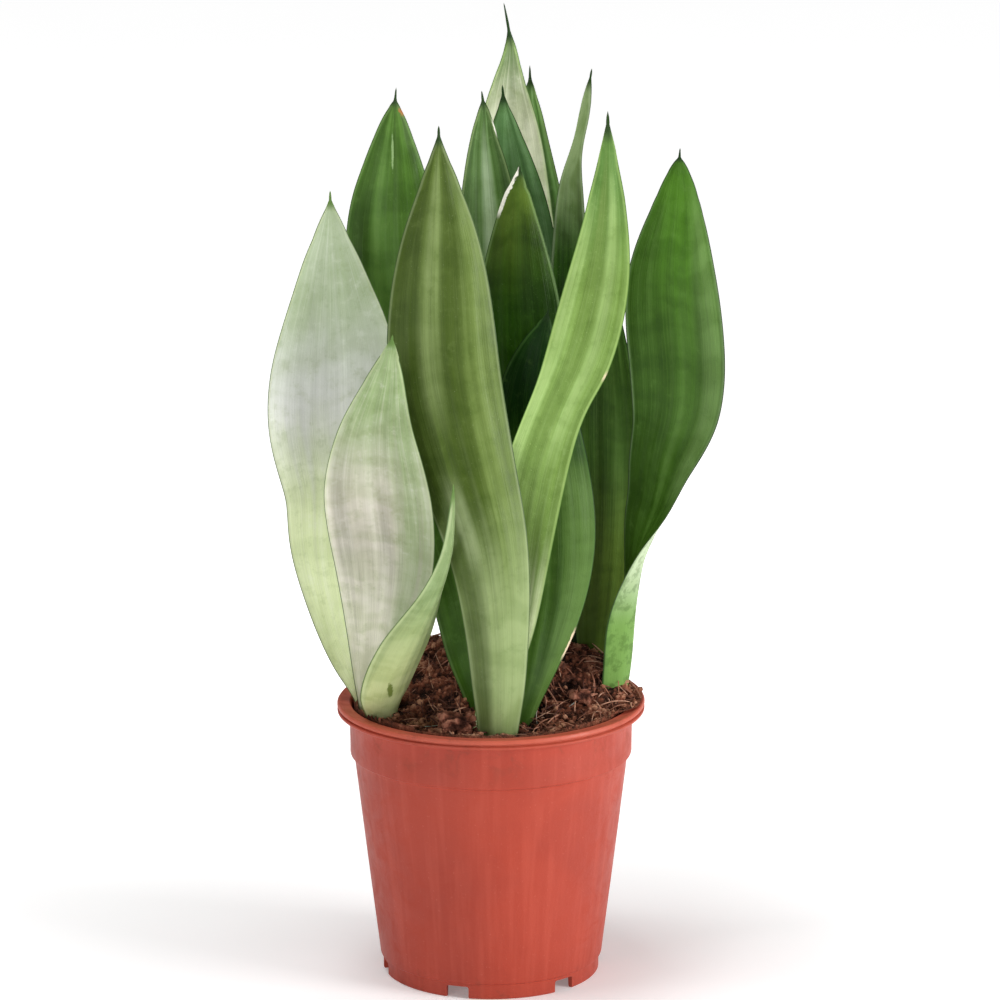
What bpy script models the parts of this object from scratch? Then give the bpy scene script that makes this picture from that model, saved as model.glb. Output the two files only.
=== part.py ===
"""Potted snake plant: a nursery pot, its soil, four rhizomes, two bark chips and fifteen leaves.

Metres, +Z up.  The origin is on the pot's axis, on the plane its feet stand on; -Y is the front.
"""
import math

import bmesh
import bpy
from mathutils import Vector

MM = 0.001
GAP = 0.35 * MM             # clearance kept between neighbouring pieces

# Nursery pot
POT_RADIUS = 60.0 * MM      # outer radius of the lip
POT_HEIGHT = 110.0 * MM
FOOT_RADIUS = 42.4 * MM
FLOOR_UNDER = 5.4 * MM      # underside of the raised floor
FLOOR_TOP = 6.8 * MM
POT_STEPS = 44              # facets round the pot
FOOT_COUNT = 6
NOTCH_WIDTH = 9.0 * MM      # gap between two feet, at the ground
NOTCH_HEIGHT = 4.8 * MM
FIRST_NOTCH = math.radians(-108.0)
DRAIN_RADIUS = 4.0 * MM
DRAIN_CIRCLE = 27.0 * MM    # the outer drain holes lie on this radius

# Potting soil
SOIL_STEPS = 36
SOIL_EDGE = 106.8 * MM      # level of the soil against the wall
MOUND_RISE = 24.0 * MM
HEAP_RISE = 7.0 * MM        # loose heap at the right, which spills over the lip
HEAP_AT = Vector((50.0 * MM, 0.0))
HEAP_SPREAD = 15.0 * MM

# Leaves
EXTRA_RINGS = 4             # sections along a leaf beyond the number of its stations
LEAF_THICK = 3.4 * MM       # at the middle of a broad section
COLUMNS = (-1.0, -0.68, -0.36, 0.0, 0.36, 0.68, 1.0)

# Every leaf is a list of stations from its foot in the soil to its tip:
# x, y, z of the midrib (mm), width (mm), turn about the midrib (degrees, 0 faces the front and
# a positive turn faces it to the right), and channel depth (mm, positive opens to the face).
LEAVES = {
    "leaf_outer_left": [
        (-43, 0, 88, 10, 20, 3), (-47, 1, 107, 11, 18, 3), (-51, 2, 118, 16, 16, 4),
        (-55.5, 2, 132, 22, 15, 5), (-59, 2, 158, 34, 15, 6), (-60, 2, 178, 40.5, 15, 5),
        (-58.7, 2, 192, 43.5, 15, 5), (-61, 1, 221, 54.5, 15, 5), (-60, 1, 249, 47.5, 15, 4),
        (-61, 0, 277, 26, 12, 3), (-61, 0, 295, 10, 8, 1), (-61, 0, 306, 1.8, 0, 0)],
    "leaf_small_left": [
        (-42, -8, 88, 9, 0, 3), (-45.5, -9, 112, 13, 0, 4), (-43, -13, 136, 24, -5, 5),
        (-40.2, -24, 166, 37.5, -10, 5), (-41.2, -36, 188, 42, -12, 5), (-42.5, -43, 205, 41, -12, 4),
        (-42.5, -46, 226, 29.5, -12, 3), (-38.7, -48, 245, 13.5, -8, 1), (-36.5, -49, 260, 1.8, 0, 0)],
    "leaf_low_rolled": [
        (-40, -17, 88, 10, 30, -3), (-40.5, -19.5, 107, 13, 42, -4), (-38, -27, 120, 28, 45, -6),
        (-30, -36, 142, 27, 45, -5), (-23, -43, 159, 20, 60, -3), (-17, -49, 176, 12, 68, -1.5),
        (-14.5, -53, 191, 5, 60, -0.5), (-14, -54, 202, 1.8, 50, 0)],
    "leaf_back_left": [
        (0, -20, 88, 10, 0, -3), (-2, -18, 112, 14, 0, -4), (-7, -13, 130, 21, -2, -4),
        (-10, -7, 152, 26, -4, -4), (-20, 3, 188, 32, -8, -3), (-30, 11, 225, 39, -12, -3),
        (-37, 14, 263, 41, -12, -3), (-38, 15, 295, 36, -10, -3), (-37.5, 15, 313, 25, -6, -2),
        (-37, 15, 331, 11, 0, -1), (-36, 14, 344, 1.8, 0, 0)],
    "leaf_central": [
        (2, -40, 88, 12, 0, -4), (2.7, -43, 108, 15.5, 0, -4), (3, -44.5, 122, 20, 0, -5),
        (2.5, -45, 145, 24, 0, -5), (0, -44, 175, 30, 0, -5), (-6, -40, 198, 35, 0, -4),
        (-12.5, -35, 220, 40, 0, -4), (-18, -30, 245, 43, 0, -3), (-19, -25, 271, 39, 0, -3),
        (-19, -21, 294, 30, 0, -2), (-19.3, -18, 316, 13.5, 0, -1), (-19.5, -17, 326, 6, 0, -1),
        (-19.5, -16, 336, 1.8, 0, 0)],
    "leaf_lime": [
        (-2, -30, 88, 9, 0, 2), (-2.5, -31.5, 108, 10.5, 0, 3), (8, -29, 140, 16, 0, 3),
        (11, -28, 171, 22, 0, 3), (16, -27, 204, 25, 8, 3), (24, -25, 229, 23, 20, 2),
        (32, -24, 246, 26, 12, 2), (38, -21, 266, 25.5, 0, 2), (42, -18, 286, 22, 0, 2),
        (44, -15, 310, 13, 0, 1), (44, -12, 339, 1.8, 0, 0)],
    "leaf_lower_right": [
        (7, -27, 88, 9, 20, -3), (10.5, -28.5, 107, 12, 20, -3), (14, -25, 122, 19, 15, -5),
        (17, -20, 138, 28, 10, -5), (19.5, -16, 153, 35, 5, -5), (20, -13, 172, 41, 0, -4),
        (19, -10, 192, 41, 0, -4), (17, -8, 215, 36, 0, -3), (16.5, -8, 238, 25, 0, -2),
        (19.5, -9, 253, 11.5, 0, -1), (22, -10, 264, 1.6, 0, 0)],
    "leaf_middle": [
        (12, 8, 90, 10, 0, -2), (14, 7, 118, 16, -5, -3), (13.5, 6, 145, 23, -8, -4),
        (13, 6, 180, 31.5, -10, -4), (12.5, 6, 215, 36.5, -10, -4), (11, 6, 250, 35.5, -10, -3),
        (10, 7, 275, 28.5, -10, -3), (10, 8, 303, 12.5, -6, -1), (11, 9, 317, 1.8, 0, 0)],
    "leaf_centre_back": [
        (2, 18, 90, 10, 5, 3), (0, 19, 118, 15, 8, 4), (1, 19.5, 150, 23.5, 10, 5),
        (2, 19.5, 190, 31.5, 10, 5), (1, 20.5, 235, 36.5, 12, 5), (0, 21.5, 270, 31.5, 12, 5),
        (-2, 22.5, 308, 20, 12, 5), (-3, 23, 325, 11, 10, 3), (-2.5, 22, 336, 4.5, 0, 1),
        (-3.5, 21, 344, 1.4, 0, 0)],
    "leaf_blue_back": [
        (6, 28, 90, 10, -5, 3), (5, 31, 115, 16, -8, 4), (6, 32, 150, 25.5, -10, 5),
        (8, 32.5, 190, 34.5, -10, 5), (9, 33.5, 235, 40.5, -10, 5), (9, 34, 275, 37.5, -10, 5),
        (7, 35, 305, 27.5, -10, 4), (5.5, 35, 330, 10, -5, 1), (4.5, 34, 346, 1.6, 0, 0)],
    "leaf_tallest": [
        (9, 36, 90, 10, 5, 3), (8, 40, 112, 15, 6, 4), (9, 42, 150, 25, 6, 5),
        (10.5, 43, 195, 33, 6, 5), (10, 45, 240, 38, 8, 5), (8, 46, 280, 34.5, 8, 5),
        (7, 47, 318, 27, 8, 4), (6.7, 47, 338, 17, 5, 3), (7.5, 46, 351, 7, 0, 1),
        (7.6, 45, 361, 2.4, 0, 0), (5, 43, 375, 1.2, 0, 0)],
    "leaf_right_back": [
        (18, 38, 90, 10, -15, 3), (22, 43, 110, 14, -18, 4), (23.5, 48, 150, 23, -20, 5),
        (24, 51, 195, 31, -22, 5), (22, 53, 245, 33, -22, 5), (18.5, 54.5, 290, 26, -22, 4),
        (16, 55, 325, 11.5, -15, 2), (15.2, 54, 349, 1.6, 0, 0)],
    "leaf_twisted": [
        (25, 19, 90, 9, 10, 2), (31, 20, 116, 13, 15, 3), (32, 20.5, 160, 17.5, 18, 3),
        (31.5, 21, 220, 20, 18, 3), (31, 21, 262, 18.5, 10, 3), (30.5, 20.5, 281, 14, -5, 3),
        (31, 19, 302, 12, -25, 2), (32, 18, 314, 10.5, -50, 1), (34, 18, 324, 9, -68, 1),
        (36, 18, 334, 8, -60, 0.5), (37.5, 18, 345, 4, -50, 0), (38.6, 18, 352, 1.4, -50, 0)],
    "leaf_big_right": [
        (44, 2, 88, 12, -74, 5), (48, 1, 107, 15, -76, 6), (50.5, 1, 120, 19, -78, 7),
        (52, 1, 136, 20, -80, 7), (53.5, 1, 151, 20, -80, 6), (56, 0, 165, 21, -74, 5),
        (59, 0, 176, 24, -64, 5), (64, -1, 190, 28, -52, 5), (66.5, -2, 206, 30, -36, 4),
        (71, -3, 219, 34.5, -22, 3), (72, -3, 235, 37, -14, 3), (71, -3, 251, 37.5, -10, 3),
        (68.5, -2, 274, 36, -5, 3), (70.4, 0, 297, 23, 0, 2), (71.3, 2, 309, 12, 0, 1),
        (71.6, 4, 317, 4.5, 0, 0), (72, 5, 323, 1.6, 0, 0)],
    "leaf_slim_right": [
        (41, 11, 88, 9, 0, 2), (41, 13, 117, 13, 0, 3), (42, 14, 137, 19, 0, 3),
        (44, 14, 165, 25, 0, 2), (44.5, 14, 203, 28, 0, 2), (44, 14, 225, 26, 0, 2),
        (44, 14, 246, 17, 0, 1), (44, 14, 262, 6, 0, 0), (44, 14, 270, 1.4, 0, 0)],
}

# Upper-face colour of each leaf
LEAF_COLOURS = {
    "leaf_outer_left": (0.42, 0.52, 0.38), "leaf_small_left": (0.46, 0.54, 0.40),
    "leaf_low_rolled": (0.36, 0.47, 0.24), "leaf_back_left": (0.06, 0.19, 0.04),
    "leaf_central": (0.15, 0.28, 0.08), "leaf_lime": (0.26, 0.47, 0.10),
    "leaf_lower_right": (0.06, 0.20, 0.07), "leaf_middle": (0.07, 0.22, 0.03),
    "leaf_centre_back": (0.09, 0.24, 0.06), "leaf_blue_back": (0.06, 0.17, 0.08),
    "leaf_tallest": (0.25, 0.42, 0.13), "leaf_right_back": (0.09, 0.25, 0.05),
    "leaf_twisted": (0.12, 0.30, 0.07), "leaf_big_right": (0.04, 0.14, 0.04),
    "leaf_slim_right": (0.10, 0.28, 0.04),
}

# One rhizome under each shoot: centre (mm), half-lengths (mm), heading (degrees)
RHIZOMES = {
    "rhizome_left": ((-40, -8, 84), (6.5, 13, 8), 0),
    "rhizome_front": ((2, -29, 84), (7.5, 15, 8), -12),
    "rhizome_right": ((41, 6, 84), (7, 9.5, 8), 25),
    "rhizome_back": ((13, 23, 84), (9, 21, 9), -18),
}

# Bark chips half sunk in the soil: x, y and lift above the soil (mm), size (mm), tilt (degrees)
CHIPS = {
    "bark_chip_front": ((-13, -37, 1.4), (13, 9, 6.5), (12, -8, 20)),
    "bark_chip_right": ((35, -14, 0.6), (10, 4.5, 3.2), (10, 14, -35)),
}


def clear_scene():
    for obj in list(bpy.data.objects):
        bpy.data.objects.remove(obj, do_unlink=True)


def new_collection(name):
    found = bpy.data.collections.get(name) or bpy.data.collections.new(name)
    if name not in bpy.context.scene.collection.children:
        bpy.context.scene.collection.children.link(found)
    return found


def material(name, colour, roughness, metallic=0.0):
    mat = bpy.data.materials.new(name)
    mat.use_nodes = True
    shader = mat.node_tree.nodes["Principled BSDF"]
    shader.inputs["Base Color"].default_value = (*colour, 1.0)
    shader.inputs["Roughness"].default_value = roughness
    shader.inputs["Metallic"].default_value = metallic
    mat.diffuse_color = (*colour, 1.0)
    return mat


def add_object(name, mesh, home, mat=None):
    obj = bpy.data.objects.new(name, mesh)
    home.objects.link(obj)
    if mat:
        mesh.materials.append(mat)
    return obj


def as_cutter(obj):
    obj.hide_render = True
    obj.display_type = "WIRE"
    return obj


def cut(target, cutter):
    mod = target.modifiers.new("cut " + cutter.name, "BOOLEAN")
    mod.operation = "DIFFERENCE"
    mod.solver = "EXACT"
    mod.object = cutter


def turned(name, profile, steps, home, mat=None, closed=True):
    """A profile of (radius, height) in mm, at +X, turned once round the Z axis."""
    mesh = bpy.data.meshes.new(name)
    points = [(r * MM, 0.0, z * MM) for r, z in profile]
    edges = [(i, i + 1) for i in range(len(points) - 1)]
    if closed:
        edges.append((len(points) - 1, 0))
    mesh.from_pydata(points, edges, [])
    obj = add_object(name, mesh, home, mat)
    screw = obj.modifiers.new("turn", "SCREW")
    screw.axis = "Z"
    screw.steps = steps
    screw.render_steps = steps
    screw.use_merge_vertices = True
    screw.merge_threshold = 0.00001
    return obj


def evaluated_mesh(obj):
    graph = bpy.context.evaluated_depsgraph_get()
    return bpy.data.meshes.new_from_object(obj.evaluated_get(graph))


# ---------------------------------------------------------------- pot

def inner_wall(z):
    """Inner radius (mm) of the tapering wall at height z (mm)."""
    return 42.8 + (z - 10.2) * 0.1227


def build_pot(home, cutters):
    lip, top = POT_RADIUS / MM, POT_HEIGHT / MM
    foot, under, floor = FOOT_RADIUS / MM, FLOOR_UNDER / MM, FLOOR_TOP / MM
    profile = [
        (lip - 1.0, top), (lip, top - 0.8),
        (lip, top - 3.2), (lip - 0.9, top - 4.0),
        (lip - 3.8, top - 4.4), (lip - 4.8, top - 5.6),
        (55.0, 91.2), (54.5, 89.2), (53.5, 87.6),
        (44.0, 10.2), (43.5, 8.4), (42.9, 7.2), (foot, under),
        (foot - 0.1, 0.5), (foot - 0.5, 0.0),
        (foot - 1.9, 0.0), (foot - 2.2, 0.5), (foot - 2.6, under - 0.3), (foot - 3.4, under),
        (0.0, under), (0.0, floor),
        (40.4, floor), (42.2, 8.4), (42.8, 10.2), (inner_wall(86.8), 86.8),
        (53.1, 88.8), (53.8, 91.0), (54.1, 104.8), (54.5, 109.2), (55.2, top),
    ]
    mat = material("terracotta_plastic", (0.43, 0.077, 0.045), 0.5)
    pot = turned("nursery_pot", profile, POT_STEPS, home, mat)

    for i in range(FOOT_COUNT):
        angle = FIRST_NOTCH + i * math.tau / FOOT_COUNT
        bm = bmesh.new()
        bmesh.ops.create_cube(bm, size=1.0)
        for v in bm.verts:
            narrow = 0.78 if v.co.z > 0 else 1.1
            v.co.x = FOOT_RADIUS + v.co.x * 9.0 * MM
            v.co.y *= NOTCH_WIDTH * narrow
            v.co.z = NOTCH_HEIGHT if v.co.z > 0 else -1.0 * MM
        mesh = bpy.data.meshes.new("foot_notch_%d" % i)
        bm.to_mesh(mesh)
        bm.free()
        notch = as_cutter(add_object("foot_notch_%d" % i, mesh, cutters))
        notch.rotation_euler.z = angle
        cut(pot, notch)

    places = [(0.0, 0.0)]
    for i in range(FOOT_COUNT):
        angle = FIRST_NOTCH + i * math.tau / FOOT_COUNT
        places.append((DRAIN_CIRCLE * math.cos(angle), DRAIN_CIRCLE * math.sin(angle)))
    for i, (x, y) in enumerate(places):
        bm = bmesh.new()
        bmesh.ops.create_cone(bm, cap_ends=True, segments=16, radius1=DRAIN_RADIUS,
                              radius2=DRAIN_RADIUS, depth=8.0 * MM)
        mesh = bpy.data.meshes.new("drain_%d" % i)
        bm.to_mesh(mesh)
        bm.free()
        hole = as_cutter(add_object("drain_%d" % i, mesh, cutters))
        hole.location = (x, y, 0.5 * (FLOOR_UNDER + FLOOR_TOP))
        cut(pot, hole)
    return pot


# ---------------------------------------------------------------- soil

def smooth_step(t):
    t = min(max(t, 0.0), 1.0)
    return t * t * (3.0 - 2.0 * t)


def soil_level(x, y):
    """Height of the soil at x, y: low along the front, mounded at the back, heaped at the right."""
    r = math.hypot(x, y)
    edge = max(0.0, 1.0 - (r / (54.0 * MM)) ** 4)
    mound = MOUND_RISE * smooth_step((y + 30.0 * MM) / (46.0 * MM)) * edge
    off = (Vector((x, y)) - HEAP_AT).length / HEAP_SPREAD
    heap = HEAP_RISE * math.exp(-off * off)
    lumps = 0.7 * MM * math.sin(x * 190.0 + 1.0) * math.sin(y * 230.0 + 0.4) * edge
    return SOIL_EDGE + mound + heap + lumps


def spill(x, y):
    """1 where the soil lies over the lip, 0 elsewhere."""
    off = abs(math.degrees(math.atan2(y, x)) + 4.0)
    return 1.0 - smooth_step((off - 14.0) / 16.0)


def build_soil(home, cutters):
    side = GAP / MM
    rim = 53.8 - side
    top = [(0.0, 120), (9, 120), (18, 120), (26, 120), (33, 120), (40, 120), (46, 120), (51, 120)]
    over = [(55.0, 113.2), (58.6, 112.2), (59.4, 109.5), (55.0, 109.5)]
    down = [(rim, 104), (rim - 0.2, 91.6), (inner_wall(86.4) - side, 86.4),
            (inner_wall(50) - side, 50), (42.8 - side, 10.6), (40.2, FLOOR_TOP / MM + side),
            (0.0, FLOOR_TOP / MM + side)]
    rough = turned("soil_blank", top + over + down, SOIL_STEPS, cutters, closed=False)
    mesh = evaluated_mesh(rough)
    bpy.data.objects.remove(rough, do_unlink=True)
    mesh.name = "potting_soil"
    bm = bmesh.new()
    bm.from_mesh(mesh)
    for v in bm.verts:
        r = v.co.xy.length
        if v.co.z > 115.0 * MM:
            v.co.z = soil_level(v.co.x, v.co.y)
        elif v.co.z > 108.0 * MM:
            rank = min(range(len(over)),
                       key=lambda i: abs(over[i][0] * MM - r) + abs(over[i][1] * MM - v.co.z))
            reach = spill(v.co.x, v.co.y)
            edge_xy = v.co.xy.normalized() * rim * MM
            level = soil_level(*edge_xy) - (0.4 + 0.5 * rank) * MM
            v.co.z = level + (v.co.z - level) * reach
            v.co.xy = edge_xy + (v.co.xy - edge_xy) * reach
    bmesh.ops.recalc_face_normals(bm, faces=bm.faces)
    bm.to_mesh(mesh)
    bm.free()
    soil = add_object("potting_soil", mesh, home, material("dark_peat", (0.055, 0.022, 0.012), 0.95))
    lip = turned("lip_clearance", [(61.0, 110.0 + side), (61.0, 86.0), (rim + 0.6, 92.0),
                                   (rim + 0.5, 104.0), (54.5 - side, 109.2), (54.9, 110.0 + side)],
                 SOIL_STEPS, cutters)
    cut(soil, as_cutter(lip))
    return soil


# ---------------------------------------------------------------- leaves

def blend(stations, t):
    """Smooth curve through the stations, t from 0 to 1 along them."""
    last = len(stations) - 1
    pos = min(max(t, 0.0), 1.0) * last
    i = min(int(pos), last - 1)
    f = pos - i
    a, b = stations[i], stations[i + 1]
    before = stations[i - 1] if i > 0 else a
    after = stations[i + 2] if i < last - 1 else b
    row = []
    for p, q, r, s in zip(before, a, b, after):
        row.append(0.5 * (2 * q + (r - p) * f + (2 * p - 5 * q + 4 * r - s) * f * f
                          + (3 * q - p - 3 * r + s) * f ** 3))
    return row


def leaf_section(stations, t, grow):
    """The ring of points round the leaf at t: one margin, the face, the other margin, the back."""
    x, y, z, width, turn, channel = blend(stations, t)
    centre = Vector((x, y, z)) * MM
    ahead = Vector(blend(stations, t + 0.01)[:3]) - Vector(blend(stations, t - 0.01)[:3])
    ahead.normalize()
    turn = math.radians(turn)
    across = Vector((math.cos(turn), math.sin(turn), 0.0))
    across = (across - across.dot(ahead) * ahead).normalized()
    face = across.cross(ahead)
    half = max(0.5 * width, 0.4) * MM
    thick = min(LEAF_THICK, max(0.20 * width, 0.45 * min(width, 2.4)) * MM + 0.2 * MM)
    depth = channel * MM
    front, back = [], []
    for s in COLUMNS:
        lift = 0.5 * thick * math.sqrt(max(0.0, 1.0 - s * s))
        middle = centre + across * (half * s) + face * (depth * (s * s - 0.35))
        front.append(middle + face * lift)
        back.append(middle - face * lift)
    ring = front + back[-2:0:-1]
    return widened(ring, ahead, grow) if grow else ring


def widened(ring, ahead, grow):
    """The ring moved outward by grow, square to its own sides."""
    moved = []
    for k, point in enumerate(ring):
        before = (point - ring[k - 1]).normalized().cross(ahead)
        after = (ring[(k + 1) % len(ring)] - point).normalized().cross(ahead)
        out = (before + after).normalized()
        moved.append(point + out * grow / max(0.35, out.dot(before)))
    return moved


def leaf_mesh(name, stations, grow=0.0):
    """A whole leaf, or with grow the socket of its buried part, drawn through the same sections."""
    rings = []
    count = len(stations) + EXTRA_RINGS
    for i in range(count):
        t = i / count
        rings.append(leaf_section(stations, t, grow))
        x, y, z = [c * MM for c in blend(stations, t)[:3]]
        if grow and z > soil_level(x, y) + 9.0 * MM:
            break
    if grow:
        sink = (rings[0][0] - rings[1][0]).normalized() * grow
        rings[0] = [p + sink for p in rings[0]]
    bm = bmesh.new()
    loops = [[bm.verts.new(p) for p in ring] for ring in rings]
    size = len(loops[0])
    for low, high in zip(loops, loops[1:]):
        for k in range(size):
            n = (k + 1) % size
            bm.faces.new((low[k], low[n], high[n], high[k]))
    bm.faces.new(loops[0])
    if grow:
        bm.faces.new(loops[-1])
    else:
        tip = bm.verts.new(Vector(stations[-1][:3]) * MM)
        for k in range(size):
            bm.faces.new((loops[-1][k], loops[-1][(k + 1) % size], tip))
    bmesh.ops.recalc_face_normals(bm, faces=bm.faces)
    mesh = bpy.data.meshes.new(name)
    bm.to_mesh(mesh)
    bm.free()
    return mesh


def build_leaves(home, cutters, soil):
    sockets = []
    for name, stations in LEAVES.items():
        leaf = add_object(name, leaf_mesh(name, stations), home,
                          material(name.replace("leaf", "green"), LEAF_COLOURS[name], 0.42))
        leaf.data.shade_smooth()
        leaf.data.set_sharp_from_angle(angle=math.radians(50))
        socket = add_object("socket_" + name, leaf_mesh("socket_" + name, stations, GAP), cutters)
        cut(soil, as_cutter(socket))
        sockets.append(socket)
    return sockets


# ---------------------------------------------------------------- rhizomes and chips

def ellipsoid(name, centre, radii, heading, grow):
    bm = bmesh.new()
    bmesh.ops.create_uvsphere(bm, u_segments=16, v_segments=8, radius=1.0)
    for v in bm.verts:
        v.co = Vector([c * (r * MM + grow) for c, r in zip(v.co, radii)])
    mesh = bpy.data.meshes.new(name)
    bm.to_mesh(mesh)
    bm.free()
    return mesh, Vector(centre) * MM, (0.0, 0.0, math.radians(heading))


def chip_block(name, centre, size, tilt, grow):
    bm = bmesh.new()
    bmesh.ops.create_cube(bm, size=1.0)
    for v in bm.verts:
        uneven = 1.0 + 0.16 * math.sin(7.0 * v.co.x + 5.0 * v.co.y + 3.0 * v.co.z)
        v.co = Vector([c * (s * MM * uneven + 2 * grow) for c, s in zip(v.co, size)])
    bmesh.ops.bevel(bm, geom=list(bm.edges), offset=0.22 * min(size) * MM, segments=2,
                    affect="EDGES", clamp_overlap=True)
    mesh = bpy.data.meshes.new(name)
    bm.to_mesh(mesh)
    bm.free()
    place = Vector(centre) * MM
    place.z += soil_level(place.x, place.y)
    return mesh, place, [math.radians(a) for a in tilt]


def bury(maker, table, home, cutters, soil, mat, sockets):
    """Each piece of the table, with its own hollow in the soil and a seat for any leaf foot in it."""
    for name, facts in table.items():
        for label, grow, place in ((name, 0.0, home), ("hollow_" + name, GAP, cutters)):
            mesh, centre, turn = maker(label, *facts, grow)
            obj = add_object(label, mesh, place, None if grow else mat)
            obj.location = centre
            obj.rotation_euler = turn
            if grow:
                cut(soil, as_cutter(obj))
                continue
            for socket in sockets:
                foot = socket.data.vertices[0].co
                if (foot - centre).length < 1.2 * max(facts[1]) * MM:
                    cut(obj, socket)


def main():
    clear_scene()
    home = new_collection("potted_snake_plant")
    cutters = new_collection("cutters")
    build_pot(home, cutters)
    soil = build_soil(home, cutters)
    sockets = build_leaves(home, cutters, soil)
    pale = material("pale_rhizome", (0.55, 0.33, 0.12), 0.6)
    bury(ellipsoid, RHIZOMES, home, cutters, soil, pale, sockets)
    bark = material("bark", (0.13, 0.045, 0.022), 0.9)
    bury(chip_block, CHIPS, home, cutters, soil, bark, [])


main()
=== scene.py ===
# %% [markdown]
# # A snake plant in its nursery pot
#
# The solid parts of the plant are already modelled: a thin plastic pot, the soil in it, the
# buried stems and fifteen leaves. They are only shapes. This lesson gives them their looks:
# a pot with a beaded lip, crumbly coir soil with fibres, and waxy leaves whose stripes and
# bands follow each blade.
#
# Everything is in metres, and each new piece is made where its solid stands.

import bpy
import math
import random
import numpy as np
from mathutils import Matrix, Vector, noise


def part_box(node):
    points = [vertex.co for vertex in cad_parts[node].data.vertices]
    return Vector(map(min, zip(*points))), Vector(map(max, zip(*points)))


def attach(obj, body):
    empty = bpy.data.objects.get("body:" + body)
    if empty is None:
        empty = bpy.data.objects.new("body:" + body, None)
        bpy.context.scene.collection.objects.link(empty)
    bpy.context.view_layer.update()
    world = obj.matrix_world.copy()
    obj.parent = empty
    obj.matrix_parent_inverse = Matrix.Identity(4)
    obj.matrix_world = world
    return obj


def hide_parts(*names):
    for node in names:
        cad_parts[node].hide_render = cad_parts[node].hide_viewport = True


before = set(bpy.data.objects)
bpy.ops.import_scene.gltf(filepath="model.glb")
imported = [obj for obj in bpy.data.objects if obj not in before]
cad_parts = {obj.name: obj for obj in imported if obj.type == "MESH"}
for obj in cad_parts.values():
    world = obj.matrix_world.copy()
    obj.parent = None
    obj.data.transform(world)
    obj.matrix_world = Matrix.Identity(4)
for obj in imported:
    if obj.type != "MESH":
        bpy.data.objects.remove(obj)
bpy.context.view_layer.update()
MM = 0.001
print("solids:", len(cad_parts))

# %% [markdown]
# ## The camera
#
# The plant is looked at from a little above, from far away, through a long lens, so its
# upright leaves stay parallel. The camera is set before the pieces, so that each of them
# can be looked at as soon as it is made.

# %% Set the camera
CAMERA_PLACE = (0.0, -1.8, 0.612)
LOOKS_DOWN = math.radians(13.25)
LOOKS_RIGHT = math.radians(0.112)

lens = bpy.data.cameras.new("camera")
lens.lens = 172.66
lens.sensor_width = 36.0
camera = bpy.data.objects.new("camera", lens)
camera.location = CAMERA_PLACE
camera.rotation_euler = (math.radians(90) - LOOKS_DOWN, 0.0, -LOOKS_RIGHT)
bpy.context.scene.collection.objects.link(camera)
bpy.context.scene.camera = camera
bpy.context.scene.view_settings.view_transform = "Standard"
print("camera set, lens", lens.lens, "mm")

# %% [markdown]
# ## Light
#
# A plant like this is best seen in even studio light. A wide soft lamp stands low at the right,
# a weaker one fills in from the left in front, and a third hangs above. The air itself is a
# pale, even light, which keeps the shadows between the leaves soft.

# %% Hang the lamps
def soft_lamp(name, place, aim, size, watts):
    """A square softbox at a place, turned to face a point."""
    data = bpy.data.lights.new(name, "AREA")
    data.shape = "SQUARE"
    data.size = size
    data.energy = watts
    lamp = bpy.data.objects.new(name, data)
    lamp.location = place
    lamp.rotation_euler = (Vector(aim) - Vector(place)).to_track_quat("-Z", "Y").to_euler()
    lamp.visible_camera = False
    bpy.context.scene.collection.objects.link(lamp)
    return lamp


MIDDLE = (0.0, 0.0, 0.18)
soft_lamp("key_right", (1.5, -0.65, 0.5), MIDDLE, 0.7, 24.0)
soft_lamp("fill_front_left", (-0.95, -1.5, 0.2), MIDDLE, 0.8, 9.0)
soft_lamp("top", (-0.25, -0.1, 1.5), MIDDLE, 0.6, 11.0)

AIR_STRENGTH = 0.24
world = bpy.data.worlds.new("studio_air")
world.use_nodes = True
air = world.node_tree.nodes["Background"]
air.inputs["Color"].default_value = (1.0, 1.0, 1.0, 1.0)
air.inputs["Strength"].default_value = AIR_STRENGTH
bpy.context.scene.world = world

# %% [markdown]
# ## Helpers for working by hand
#
# An operator acts on all that is selected, and the solids are selected after loading. So each
# step starts with nothing selected, picks its own object, and picks faces or edges by their
# place. These small helpers keep that short.

# %% Helpers for selecting and finishing
def pick(*objs):
    """Only these objects are selected, and the first is active."""
    bpy.ops.object.select_all(action="DESELECT")
    for o in objs:
        o.select_set(True)
    bpy.context.view_layer.objects.active = objs[0]


def edit(obj, mode="VERT"):
    """Opens an object for editing, with nothing selected in it."""
    pick(obj)
    bpy.context.tool_settings.mesh_select_mode = (mode == "VERT", mode == "EDGE", mode == "FACE")
    bpy.ops.object.mode_set(mode="EDIT")
    bpy.ops.mesh.select_all(action="DESELECT")
    bpy.ops.object.mode_set(mode="OBJECT")


def choose(obj, kind, test):
    """Selects the vertices, edges or faces that pass a test, then opens the object."""
    edit(obj, {"vertices": "VERT", "edges": "EDGE", "polygons": "FACE"}[kind])
    found = 0
    for part in getattr(obj.data, kind):
        part.select = bool(test(part))
        found += part.select
    bpy.ops.object.mode_set(mode="EDIT")
    return found


def done():
    bpy.ops.object.mode_set(mode="OBJECT")


def modify(obj, kind, **settings):
    """Adds a modifier and applies it at once."""
    pick(obj)
    m = obj.modifiers.new(kind.lower(), kind)
    for key, value in settings.items():
        setattr(m, key, value)
    bpy.ops.object.modifier_apply(modifier=m.name)


def settle(obj):
    """Puts an object's place and turn into its mesh, so that the object sits at the origin."""
    pick(obj)
    bpy.ops.object.transform_apply(location=True, rotation=True, scale=True)


def points(obj):
    """The vertices of an object as rows of x, y, z."""
    flat = np.empty(len(obj.data.vertices) * 3)
    obj.data.vertices.foreach_get("co", flat)
    return flat.reshape(-1, 3)


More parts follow.
